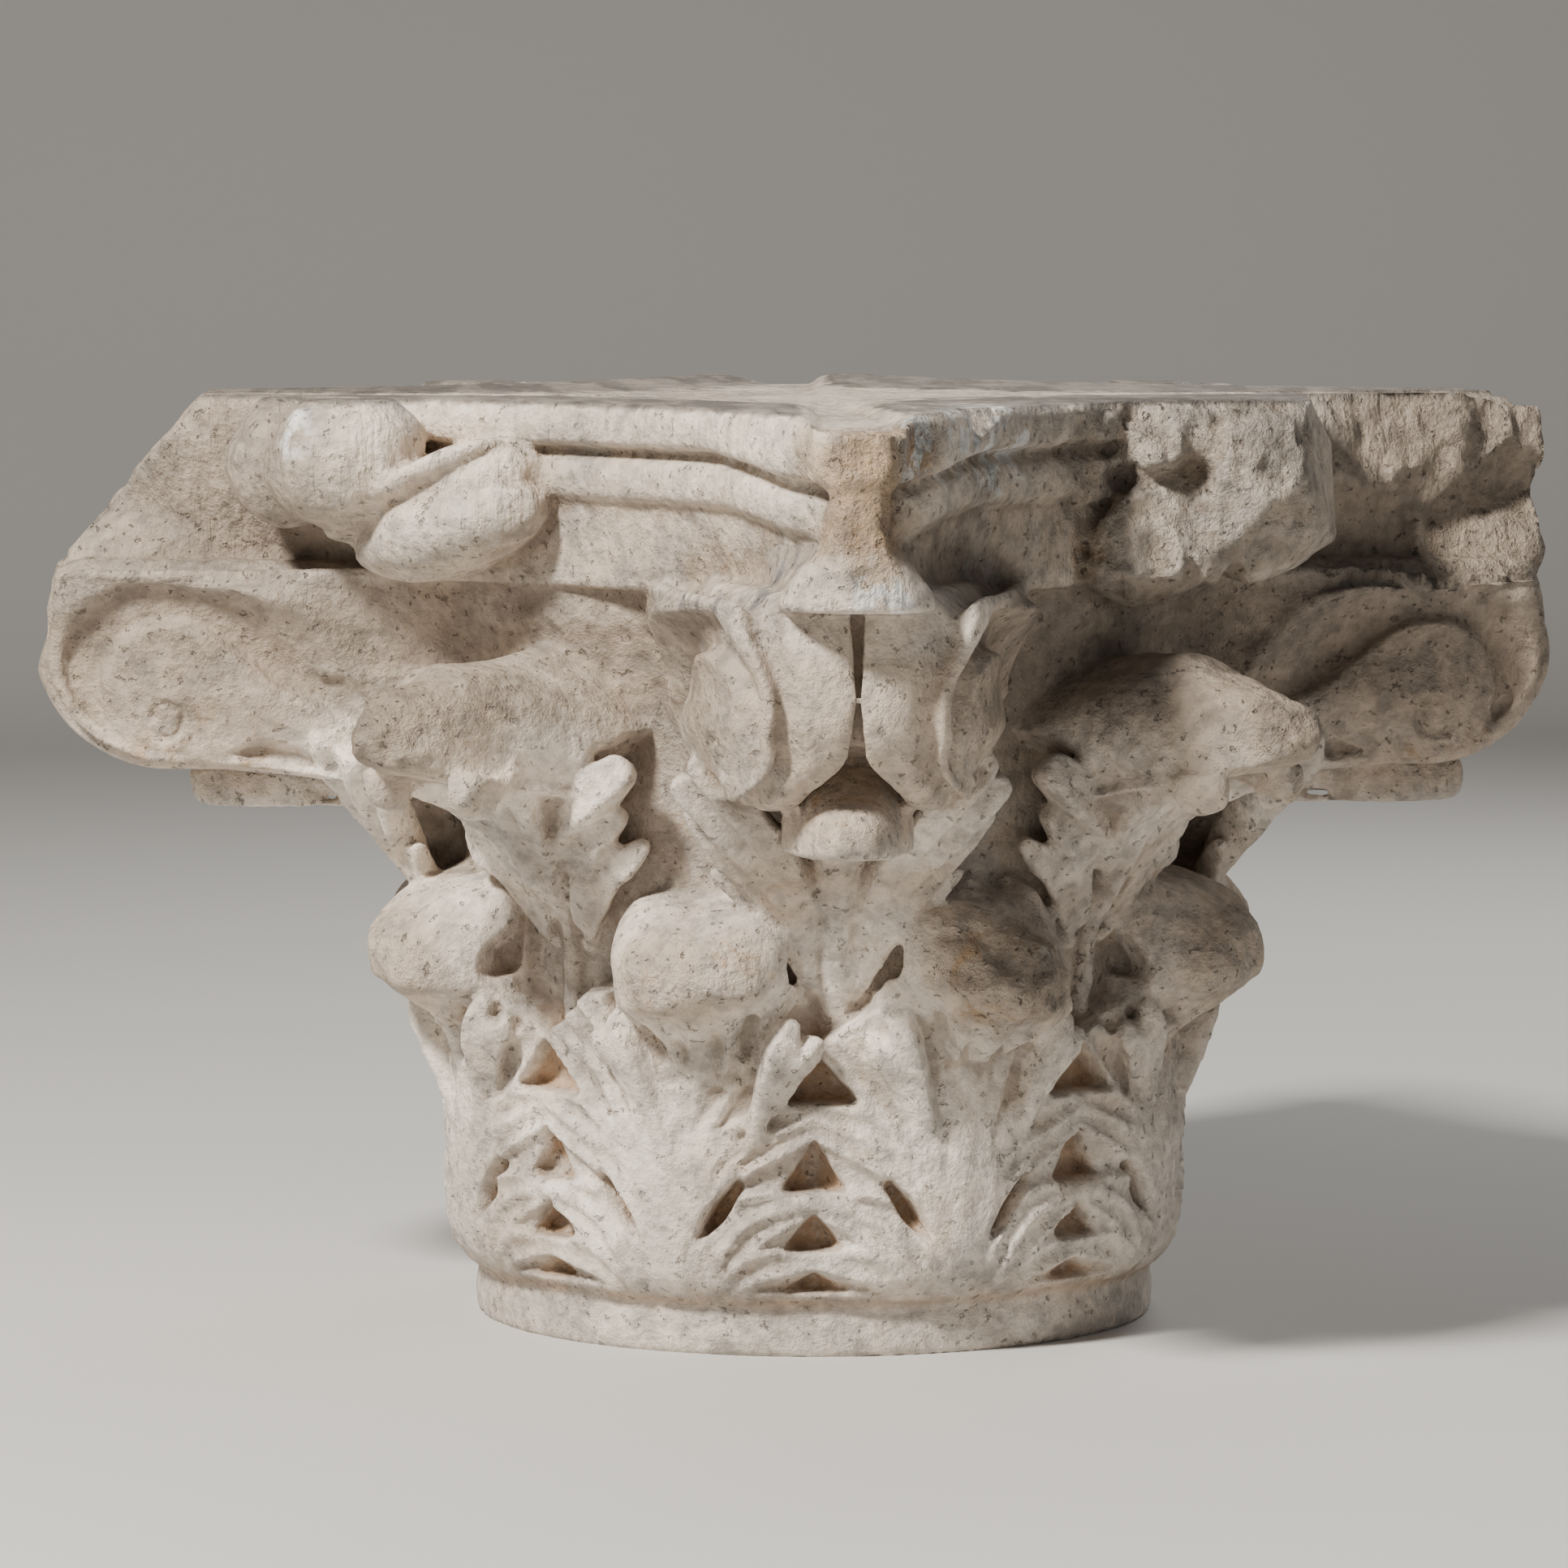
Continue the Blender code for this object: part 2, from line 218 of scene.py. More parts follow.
@dataclass
class Form:
    """A closed surface: its points and its quads, which are triangles where their last two points agree."""

    points: Array
    faces: Array

    @staticmethod
    def turned(grid: Array) -> "Form":
        """Closes a grid that runs from pole to pole and wraps round in its second parameter.

        Args:
            grid: Points by row and column. The middles of the first and last rows become the poles.

        Returns:
            The closed form.
        """
        rows, columns = grid.shape[:2]
        index = np.arange(rows * columns).reshape(rows, columns)
        quads = quads_of(np.hstack([index, index[:, :1]]))
        caps = [fan(index[0], rows * columns), fan(index[-1], rows * columns + 1)[:, [1, 0, 2, 3]]]
        points = np.vstack([grid.reshape(-1, 3), grid[0].mean(0)[None], grid[-1].mean(0)[None]])
        return Form(points, np.vstack([quads, *caps]))

    @staticmethod
    def closed_to(grid: Array, heart: Array) -> "Form":
        """Closes an open grid with a fan from its rim to a point inside the block.

        Args:
            grid: Points by row and column.
            heart: The point that the fan runs to.

        Returns:
            The closed form.
        """
        rows, columns = grid.shape[:2]
        index = np.arange(rows * columns).reshape(rows, columns)
        faces = np.vstack([quads_of(index), fan(rim_of(index), rows * columns)])
        return Form(np.vstack([grid.reshape(-1, 3), heart[None]]), faces)

    def outward(self) -> "Form":
        """The same form with its faces pointing out: they turn round where its signed volume is negative."""
        a, b, c, d = (self.points[self.faces[:, k]] for k in range(4))
        volume = (a * (np.cross(b, c) + np.cross(c, d))).sum()
        return self if volume > 0 else Form(self.points, self.faces[:, [1, 0, 3, 2]])


def mesh_of(forms: Sequence[Form], name: str) -> bpy.types.Mesh:
    """One mesh that holds all the forms.

    Args:
        forms: The closed forms.
        name: The mesh's name.

    Returns:
        The new mesh, made of triangles.
    """
    points, triangles, start = [], [], 0
    for form in forms:
        faces = form.outward().faces + start
        whole = faces[faces[:, 2] != faces[:, 3]]
        points.append(form.points)
        triangles += [faces[:, :3], whole[:, [0, 2, 3]]]
        start += len(form.points)
    return triangle_mesh(np.vstack(points), np.vstack(triangles), name)


def triangle_mesh(points: Array, triangles: Array, name: str) -> bpy.types.Mesh:
    """A mesh of triangles, filled in with whole arrays.

    Args:
        points: Positions in metres.
        triangles: Three point numbers a row.
        name: The mesh's name.

    Returns:
        The new mesh.
    """
    mesh = bpy.data.meshes.new(name)
    mesh.vertices.add(len(points))
    mesh.vertices.foreach_set("co", points.astype(np.float32).ravel())
    mesh.loops.add(triangles.size)
    mesh.loops.foreach_set("vertex_index", triangles.astype(np.int32).ravel())
    mesh.polygons.add(len(triangles))
    mesh.polygons.foreach_set("loop_start", np.arange(0, triangles.size, 3, dtype=np.int32))
    mesh.update(calc_edges=True)
    mesh.validate()
    return mesh


@dataclass(frozen=True)
class Stroke:
    """A line drawn on a surface in millimetres, with a half-width at each of its points."""

    course: Course
    widths: Series

    def share(self, across: Array, up: Array) -> tuple[Array, Array]:
        """How far each place is from the line as a share of the half-width there, and that half-width.

        The line is a Catmull-Rom curve, and the least distance to its short straight steps is taken.

        Args:
            across: First coordinate in millimetres.
            up: Second coordinate in millimetres.

        Returns:
            The share and the half-width, both shaped like across.
        """
        joined = [(*point, width) for point, width in zip(self.course, self.widths)]
        line = smooth_path(joined, 4 * len(joined))
        best = np.full(across.shape, np.inf)
        width = np.ones(across.shape)
        for (x0, y0, w0), (x1, y1, w1) in zip(line[:-1], line[1:]):
            run, climb = x1 - x0, y1 - y0
            t = np.clip(((across - x0) * run + (up - y0) * climb) / (run**2 + climb**2), 0, 1)
            here = np.maximum(w0 + (w1 - w0) * t, 0.5)
            gap = np.hypot(across - x0 - run * t, up - y0 - climb * t) / here
            closer = gap < best
            best, width = np.where(closer, gap, best), np.where(closer, here, width)
        return best, width


@dataclass(frozen=True)
class Notch:
    """A gap between neighbouring leaves: an upright triangle on their shared edge, in millimetres."""

    foot: float
    peak: float
    half_width: float


@dataclass(frozen=True)
class AcanthusPattern:
    """Half of an acanthus leaf laid flat, in millimetres across from its midrib and up from the lower bed."""

    half_pitch: float = 98.5
    fingers: tuple[Stroke, ...] = (
        Stroke(((11, 60), (13, 120), (17, 172), (27, 222)), (3.0, 4.0, 5.0, 6.0)),
        Stroke(((15, 84), (22, 138), (38, 182), (62, 222)), (2.5, 6.5, 9.5, 10.0)),
        Stroke(((17, 88), (32, 140), (60, 176), (93, 208)), (2.5, 8.0, 11.5, 6.0)),
        Stroke(((16, 66), (26, 110), (52, 146), (98, 164)), (2.5, 7.5, 10.5, 5.0)),
        Stroke(((15, 56), (22, 96), (46, 127), (99, 152)), (2.5, 7.0, 9.5, 6.5)),
        Stroke(((20, 37), (31, 66), (50, 96), (99, 106)), (2.5, 7.5, 9.5, 4.5)),
        Stroke(((23, 36), (42, 66), (66, 88), (99, 100)), (2.5, 7.5, 8.5, 4.5)),
        Stroke(((26, 34), (49, 53), (74, 63), (99, 65)), (2.5, 7.5, 8.5, 5.5)),
        Stroke(((30, 32), (60, 37), (99, 38)), (2.5, 5.0, 6.0)),
    )
    notches: tuple[Notch, ...] = (
        Notch(167, 203, 34), Notch(108, 146, 25), Notch(70, 98, 24), Notch(43, 58, 27),
    )
    eyes: tuple[Stroke, ...] = (
        Stroke(((21, 77), (34, 95), (49, 115)), (2.0, 6.5, 4.0)),
        Stroke(((27, 196), (30, 214), (35, 234)), (2.0, 5.5, 5.0)),
    )
    rib: Stroke = Stroke(((0, 30), (0, 80), (0, 140), (0, 200), (0, 260)), (20.5, 15.5, 11.0, 8.5, 8.0))
    channel: float = 0.74
    plate: float = 9.0

    def relief(self, across: Array, up: Array) -> tuple[Array, Array]:
        """The height of the carving under its crests, and how open each place is as a hole.

        Each finger is a channel, -channel w (1 - p^2) across its width w, with a steep side past it, and the
        highest finger is kept. A plate lies under them all, and the rib is a smooth band between two grooves.

        Args:
            across: Distance from the midrib, in millimetres, of either sign.
            up: Height, in millimetres.

        Returns:
            Heights in millimetres, at most 0, and openness from 0 to 1.
        """
        aside = np.abs(across)
        height = np.full(across.shape, -self.plate)
        for finger in self.fingers:
            share, width = finger.share(aside, up)
            hollow = -self.channel * width * (1 - share**2)
            height = np.maximum(height, np.where(share < 1, hollow, -2.8 * width * (share - 1)))
        share, width = self.rib.share(aside, up)
        band = -0.6 - 1.2 * share**2 - 2.6 * rise(share, 0.86, 0.97)
        height = np.where(share < 1, band, height - 2.4 * (1 - rise((share - 1) * width, 0.0, 2.5)))
        hole = np.zeros(across.shape)
        for notch in self.notches:
            tall = notch.peak - notch.foot
            side = notch.half_width * (notch.peak - up) / tall - (self.half_pitch - aside)
            lean = tall / np.hypot(notch.half_width, tall)
            inside = np.minimum(up - notch.foot, side * lean)
            hole = np.maximum(hole, rise(inside, -0.5, 3.0))
        for eye in self.eyes:
            share, width = eye.share(aside, up)
            hole = np.maximum(hole, rise((1 - share) * width, -0.5, 2.5))
        return height, hole


PATTERN = AcanthusPattern()
UPPER_PATTERN = AcanthusPattern(
    fingers=(
        Stroke(((9, 10), (12, 80), (20, 150), (30, 215), (34, 280)), (4.0, 7.0, 10.0, 11.0, 12.0)),
        Stroke(((24, 90), (34, 140), (52, 190), (60, 260)), (3.0, 8.0, 12.0, 12.0)),
    ),
    notches=(),
    eyes=(Stroke(((27, 140), (36, 170), (44, 200)), (2.0, 6.0, 7.0)),),
    rib=Stroke(((0, 0), (0, 60), (0, 120), (0, 190), (0, 300)), (8.0, 8.0, 8.0, 8.0, 8.0)),
    channel=0.8,
    plate=12.0,
)


@dataclass(frozen=True)
class Bell:
    """The turned core with the lower row's leaves cut into it."""

    columns_in_leaf: int = 128
    rows: int = 300
    body: Course = (
        (0.000, 0.2275), (0.004, 0.2290), (0.020, 0.2295), (0.029, 0.2275), (0.033, 0.2300), (0.040, 0.2400),
        (0.052, 0.2490), (0.075, 0.2530), (0.130, 0.2550), (0.185, 0.2540), (0.205, 0.2560), (0.222, 0.2640),
        (0.236, 0.2700), (0.250, 0.2700),
    )
    ground: Course = (
        (0.030, 0.226), (0.060, 0.226), (0.215, 0.230), (0.240, 0.236), (0.330, 0.240), (0.400, 0.248),
        (0.440, 0.256), (0.470, 0.2625), (0.474, 0.2665), (0.478, 0.2680), (0.497, 0.2690), (0.510, 0.2690),
    )

    def form(self) -> Form:
        """The closed bell: r(angle, z) is the leaf's body plus its relief, and the ground inside its holes.

        Returns:
            The closed form.
        """
        height = np.linspace(0.0, 0.510, self.rows)
        body = np.interp(height, *np.array(self.body).T)[:, None]
        ground = np.interp(height, *np.array(self.ground).T)[:, None]
        turn = (np.arange(self.columns_in_leaf) / self.columns_in_leaf - 0.5) * 2
        across, up = np.meshgrid(turn * PATTERN.half_pitch, height * 1000)
        relief, hole = PATTERN.relief(across, up)
        aside = np.abs(across) / PATTERN.half_pitch
        crown = 0.0025 - 0.006 * aside**2
        crown = crown * rise(height, 0.03, 0.07)[:, None]
        carved = body + crown + relief / 1000 * rise(height, 0.028, 0.045)[:, None]
        narrowing = 1.0 - 0.42 * rise(height, 0.200, 0.236)[:, None]
        hole = np.maximum(hole, rise(aside / narrowing, 0.98, 1.06) * rise(height, 0.2, 0.21)[:, None])
        hole = np.maximum(hole * rise(height, 0.030, 0.036)[:, None], rise(height, 0.236, 0.242)[:, None])
        radius = carved * (1 - hole) + ground * hole
        radius = np.where(height[:, None] < 0.030, body, radius)
        radius = np.tile(radius, BLOCK.leaves_in_row)
        columns = radius.shape[1]
        angle = BLOCK.lower_row_turn + np.arange(columns) / columns * 2 * pi
        return Form.turned(around_axis(radius, angle[None], height[:, None]))


@dataclass(frozen=True)
class CurledLeaf:
    """A leaf that leaves the bell, curls over and runs back to it, closed to a heart inside the block."""

    angle: float
    path: Course
    widths: Series
    heart: Pair
    rounding: float = 0.30
    power: float = 3.0
    droop: float = 0.010
    lean: float = 0.0
    pattern: AcanthusPattern = UPPER_PATTERN
    drawn_from: float = 0.0
    carved: float = 0.0
    carved_until: float = 0.5
    wear: Wear = Wear.SOFTENED
    seed: int = 0
    columns: int = 81
    rows: int = 181

    def form(self) -> Form:
        """The closed leaf.

        Its place is heart + (path - heart)(1 - rounding |u|^power), with u from edge to edge. The carving and
        the lumps move it along the line from the heart.

        Returns:
            The closed form.
        """
        line = smooth_path(self.path, self.rows)
        half = smooth_path([(w,) for w in self.widths], self.rows)
        share = np.linspace(-1, 1, self.columns)[None]
        heart = np.array(self.heart)
        shrink = 1 - self.rounding * np.abs(share) ** self.power
        radius = heart[0] + (line[:, :1] - heart[0]) * shrink
        height = heart[1] + (line[:, 1:] - heart[1]) * shrink - self.droop * np.abs(share) ** 2
        height = height + self.lean * share * rise(line[:, :1], 0.24, 0.29)
        length = np.hypot(line[:, :1] - heart[0], line[:, 1:] - heart[1])
        outward = (line - heart) / length
        run = np.linspace(0, 1, self.rows)[:, None]
        if self.carved:
            steps = np.hypot(*np.diff(line, axis=0, prepend=line[:1]).T)[:, None]
            up = self.drawn_from + 1000 * np.cumsum(steps, axis=0)
            relief, hole = self.pattern.relief(*np.broadcast_arrays(share * half * 1000, up))
            fade = band(run, 0.0, 0.04, self.carved_until * 0.84, self.carved_until)
            push = self.carved * fade * (relief / 1000 - 0.022 * hole)
            radius, height = radius + push * outward[:, :1], height + push * outward[:, 1:]
        place = around_axis(radius, self.angle + share * half / np.maximum(radius, 0.05), height)
        rough = lumps(place, 0.045, 3, self.seed) + 0.9 * lumps(place, 0.090, 1, self.seed + 5)
        rough = rough[..., None] * self.wear.value
        place = place + rough * around_axis(outward[:, :1], self.angle, outward[:, 1:])
        return Form.closed_to(place, around_axis(heart[0], self.angle, heart[1]).reshape(3))


@dataclass(frozen=True)
class Finger:
    """One finger of an upper leaf: a tapered blade with a hollow face, swept along a course.

    Each place on the course is its distance from the midrib's plane, its distance out along that plane and
    its height.
    """

    course: tuple[Triple, ...]
    widths: Series
    hollow: float = 0.42
    body: float = 1.9
    heart: Pair = (0.15, 0.33)

    def form(self, angle: float, side: int, seed: int) -> Form:
        """The closed blade.

        At a share u of its half-width w, its face stands w (0.8 (1 - u^8) - hollow (1 - u^2)).

        Args:
            angle: The angle of the leaf's midrib.
            side: 1 for its right half and -1 for its left.
            seed: Which lumps.

        Returns:
            The closed form.
        """
        rows, columns = 44, 36
        line = smooth_path(self.course, rows)
        width = smooth_path([(w,) for w in self.widths], rows)
        ends = np.sqrt(1 - (np.linspace(-1, 1, rows)[:, None]) ** 14)
        width = np.maximum(width * ends, 0.0004)
        ahead, right = axes(angle)
        middle = line[:, 1:2] * ahead + side * line[:, :1] * right + line[:, 2:] * np.array([0.0, 0.0, 1.0])
        along = np.gradient(middle, axis=0)
        along /= np.linalg.norm(along, axis=-1, keepdims=True)
        away = middle - (self.heart[0] * ahead + np.array([0.0, 0.0, self.heart[1]]))
        away -= (away * along).sum(-1, keepdims=True) * along
        away /= np.linalg.norm(away, axis=-1, keepdims=True)
        across = np.cross(along, away)
        turn = full_turn(columns)
        u, v = np.cos(turn), np.sin(turn)
        face = 0.8 * (1 - u**8) - self.hollow * (1 - u**2)
        stand = np.where(v >= 0, face, -self.body * np.sqrt(np.clip(1 - u**2, 0, 1)))
        across, away = across[:, None], away[:, None]
        place = middle[:, None] + (width * u)[..., None] * across + (width * stand)[..., None] * away
        place = place + (0.0012 * lumps(place, 0.02, 2, seed))[..., None] * away
        return Form.turned(place)


def bell_shares(*shares: Pair) -> Course:
    """Radii and heights from shares of the corner's overhang and of the bell's height."""
    return tuple((BLOCK.ring_radius + out * BLOCK.overhang, up * BLOCK.bell_top) for out, up in shares)


@dataclass(frozen=True)
class Foliage:
    """The curled leaf tips of the lower row, and the upper leaves at the sides and under the corners."""

    lower_tip: Course = bell_shares(
        (0.080, 0.36), (0.100, 0.39), (0.150, 0.415), (0.225, 0.440), (0.285, 0.475), (0.290, 0.515),
        (0.245, 0.555), (0.165, 0.590), (0.070, 0.615), (0.000, 0.630),
    )
    lower_widths: Series = (
        0.070, 0.068, 0.064, 0.062, 0.060, 0.060, 0.062, 0.064, 0.060, 0.050,
    )
    side_leaf: Course = bell_shares(
        (0.03, 0.42), (0.06, 0.50), (0.10, 0.56), (0.15, 0.615), (0.21, 0.665), (0.29, 0.712), (0.37, 0.744),
        (0.50, 0.764), (0.62, 0.778), (0.687, 0.808), (0.66, 0.85), (0.55, 0.885), (0.38, 0.905),
        (0.10, 0.905),
    )
    side_widths: Series = (
        0.018, 0.019, 0.021, 0.024, 0.030, 0.040, 0.052, 0.060, 0.058, 0.052, 0.058, 0.068, 0.076, 0.072,
    )
    corner_leaf: Course = bell_shares(
        (0.02, 0.40), (0.06, 0.48), (0.114, 0.548), (0.1755, 0.612), (0.237, 0.658), (0.298, 0.694),
        (0.356, 0.712), (0.465, 0.716), (0.571, 0.702), (0.67, 0.690), (0.755, 0.688), (0.785, 0.705),
        (0.780, 0.738), (0.70, 0.775), (0.42, 0.85), (0.15, 0.91),
    )
    corner_widths: Series = (
        0.022, 0.022, 0.022, 0.024, 0.027, 0.030, 0.034, 0.040, 0.043, 0.044, 0.043, 0.042, 0.042, 0.042,
        0.060, 0.080,
    )
    corner_reaches: Series = (1.0, 0.93, 0.95, 0.82)
    side_fingers: tuple[Finger, ...] = (
        Finger(((0.010, 0.268, 0.310), (0.022, 0.300, 0.352), (0.034, 0.340, 0.374), (0.042, 0.385, 0.384)),
               (0.006, 0.010, 0.013, 0.013)),
        Finger(((0.002, 0.272, 0.322), (0.016, 0.290, 0.352), (0.042, 0.298, 0.382), (0.063, 0.292, 0.404)),
               (0.006, 0.011, 0.012, 0.010)),
        Finger(((0.004, 0.262, 0.305), (0.026, 0.278, 0.342), (0.062, 0.286, 0.368), (0.088, 0.277, 0.390)),
               (0.006, 0.012, 0.015, 0.012)),
        Finger(((0.012, 0.246, 0.275), (0.033, 0.262, 0.318), (0.054, 0.270, 0.342), (0.071, 0.266, 0.358)),
               (0.005, 0.009, 0.012, 0.008)),
        Finger(((0.014, 0.240, 0.262), (0.044, 0.252, 0.305), (0.064, 0.256, 0.322), (0.081, 0.252, 0.337)),
               (0.004, 0.008, 0.010, 0.006)),
    )
    corner_fingers: tuple[Finger, ...] = (
        Finger(((0.014, 0.262, 0.285), (0.038, 0.298, 0.332), (0.070, 0.326, 0.372), (0.097, 0.334, 0.399)),
               (0.006, 0.011, 0.012, 0.009)),
        Finger(((0.014, 0.252, 0.268), (0.042, 0.286, 0.317), (0.078, 0.308, 0.358), (0.107, 0.316, 0.384)),
               (0.006, 0.011, 0.013, 0.009)),
        Finger(((0.014, 0.244, 0.250), (0.040, 0.270, 0.296), (0.072, 0.288, 0.336), (0.099, 0.294, 0.364)),
               (0.006, 0.009, 0.011, 0.006)),
        Finger(((0.012, 0.238, 0.235), (0.032, 0.257, 0.272), (0.058, 0.268, 0.302), (0.082, 0.270, 0.322)),
               (0.005, 0.007, 0.008, 0.004)),
    )
    tip_fingers: tuple[Finger, ...] = (
        Finger(((0.030, 0.250, 0.140), (0.044, 0.259, 0.180), (0.055, 0.264, 0.206), (0.062, 0.261, 0.226)),
               (0.005, 0.008, 0.010, 0.006), 0.30, 2.4),
        Finger(((0.044, 0.248, 0.160), (0.060, 0.254, 0.188), (0.071, 0.254, 0.202), (0.077, 0.248, 0.212)),
               (0.004, 0.007, 0.008, 0.004), 0.30, 2.4),
    )
    tip_wear: tuple[Wear, ...] = (
        Wear.BROKEN, Wear.SOFTENED, Wear.WORN, Wear.SOFTENED, Wear.WORN, Wear.SOFTENED, Wear.WORN, Wear.WORN,
    )
    leans: Series = (-0.012, 0.008, -0.006, 0.007, -0.008, 0.006, -0.007, 0.008)
    tip_turns: Series = (2.0, 0.0, 0.0, 0.0, 0.0, 0.0, 0.0, 6.5)

    @staticmethod
    def spread(fingers: tuple[Finger, ...], angle: float, seed: int) -> list[Form]:
        """The fingers on both halves of a leaf at an angle."""
        pairs = [(finger, side) for finger in fingers for side in (-1, 1)]
        return [finger.form(angle, side, seed + n) for n, (finger, side) in enumerate(pairs)]

    def forms(self) -> list[Form]:
        """Every curled leaf.

        Returns:
            The closed forms of eight lower tips, four side leaves and four corner leaves, with their fingers.
        """
        made = []
        for k in range(BLOCK.leaves_in_row):
            angle = BLOCK.lower_row_turn + (k + 0.5) * 2 * pi / BLOCK.leaves_in_row
            angle = angle + radians(self.tip_turns[k])
            made.append(
                CurledLeaf(angle, self.lower_tip, self.lower_widths, (0.17, 0.240), rounding=0.28, power=3.4,
                           droop=-0.006, lean=self.leans[k], pattern=PATTERN, drawn_from=180.0, carved=1.0,
                           carved_until=0.42, wear=self.tip_wear[k], seed=k).form()
            )
            made += self.spread(self.tip_fingers, angle, 400 + 20 * k)
        for k, angle in enumerate(BLOCK.side_angles):
            made.append(
                CurledLeaf(angle, self.side_leaf, self.side_widths, (0.15, 0.35), 0.40, 2.3, 0.006,
                           carved=1.0, carved_until=0.60, wear=Wear.RAGGED, seed=20 + k).form()
            )
            made += self.spread(self.side_fingers, angle, 200 + 20 * k)
        for k, angle in enumerate(BLOCK.corner_angles):
            ring, reach = BLOCK.ring_radius, self.corner_reaches[k]
            path = tuple((ring + (radius - ring) * reach, height) for radius, height in self.corner_leaf)
            made.append(
                CurledLeaf(angle, path, self.corner_widths, (0.15, 0.35), 0.26, 3.0, 0.002,
                           carved=0.6, carved_until=0.50, wear=Wear.SOFTENED, seed=40 + k).form()
            )
            made += self.spread(self.corner_fingers, angle, 300 + 20 * k)
        return made


@dataclass(frozen=True)
class Abacus:
    """The concave-sided slab, with a groove under its fillet, a low roll and a hollow face below.

    Its plan is narrow-nosed at the top and a blunt prow at the bottom, over the scrolls.
    """

    top_plan: Course = (
        (0.0, 1.0), (0.0345, 0.994), (0.052, 0.973), (0.061, 0.939), (0.080, 0.897), (0.115, 0.847),
        (0.153, 0.757), (0.197, 0.661), (0.287, 0.527),
    )
    low_plan: Course = (
        (0.0, 0.992), (0.023, 0.985), (0.034, 0.958), (0.042, 0.923), (0.060, 0.885), (0.100, 0.840),
        (0.142, 0.762), (0.190, 0.668), (0.287, 0.527),
    )
    prow_plan: Course = (
        (0.0, 0.998), (0.054, 0.987), (0.092, 0.945), (0.115, 0.881), (0.128, 0.785), (0.149, 0.692),
        (0.201, 0.600), (0.287, 0.508),
    )
    profile: Course = (
        (0.000, 0.0200), (0.003, 0.0165), (0.010, 0.0160), (0.030, 0.0175), (0.048, 0.0180), (0.055, 0.0180),
        (0.0590, 0.0120), (0.063, 0.0080), (0.074, 0.0070), (0.083, 0.0095), (0.0875, 0.0170),
        (0.0905, 0.0190),
        (0.0930, 0.0060), (0.0960, 0.0010), (0.1050, 0.0000), (0.1140, 0.0006), (0.1180, 0.0025),
        (0.120, 0.0055),
    )
    sink: float = 0.018
    steps: int = 90
    levels: int = 110

    def outline(self, plan: Course | None = None) -> tuple[Array, Array, Array]:
        """A plan: half a side runs from a horn's tip to its middle, and is mirrored and turned.

        Args:
            plan: Shares of the corner's reach, across and out; the top plan if none is given.

        Returns:
            Points, outward directions and how near each is to a horn, from 0 to 1.
        """
        middle = BLOCK.side_reach / BLOCK.corner_reach * cos(pi / BLOCK.corners)
        octant = smooth_path([*(plan or self.top_plan), (middle, middle)], self.steps) * BLOCK.corner_reach
        side = np.vstack([octant, octant[-2:0:-1, ::-1]])
        turns = []
        for angle in BLOCK.corner_angles:
            ahead, right = axes(angle)
            turns.append(ahead[:2] * side[:, 1:] + right[:2] * side[:, :1])
        points = np.vstack(turns)
        along = np.roll(points, -1, axis=0) - np.roll(points, 1, axis=0)
        outward = np.stack([along[:, 1], -along[:, 0]], axis=-1)
        outward /= np.linalg.norm(outward, axis=-1, keepdims=True)
        reach = np.linalg.norm(points, axis=-1)
        near_horn = (reach - BLOCK.side_reach) / (BLOCK.corner_reach - BLOCK.side_reach)
        return points, outward, np.clip(near_horn, 0, 1)

    def form(self) -> Form:
        """The closed slab: the three plans blended by height, and drawn in by the profile.

        The inset fades at the horns, where the profile's lines sink, and is plain near the two broken ones.

        Returns:
            The closed form.
        """
        top, top_out, near = self.outline()
        low, low_out, _ = self.outline(self.low_plan)
        prow, prow_out, _ = self.outline(self.prow_plan)
        levels = np.linspace(0, BLOCK.abacus_thickness, self.levels)[:, None]
        share = levels / BLOCK.abacus_thickness
        reach = np.linalg.norm(top, axis=-1)[None]
        read = levels + self.sink * 4 * share * (1 - share) * rise(near, 0.3, 0.9)[None]
        inset = np.interp(read, *np.array(self.profile).T) * (1 - 0.85 * rise(reach, 0.475, 0.508))
        broken = rise(np.abs(top[:, 0]), 0.34, 0.41)[None]
        inset = inset * (1 - broken) + (0.020 - 0.016 * share) * broken
        to_low, to_top = rise(levels, 0.004, 0.058)[..., None], rise(levels, 0.045, 0.100)[..., None]
        plans = [prow[None], low[None], top[None], prow_out[None], low_out[None], top_out[None]]
        shares = [1 - to_low, to_low * (1 - to_top), to_low * to_top] * 2
        flat = sum(plan * part for plan, part in zip(plans[:3], shares))
        outward = sum(plan * part for plan, part in zip(plans[3:], shares))
        flat = flat - outward * inset[..., None]
        worn_down = 0.010 * rise(reach, 0.455, 0.525) * rise(share, 0.55, 1.0)
        height = BLOCK.bell_top + levels - worn_down
        return Form.turned(np.concatenate([flat, height[..., None]], axis=-1))


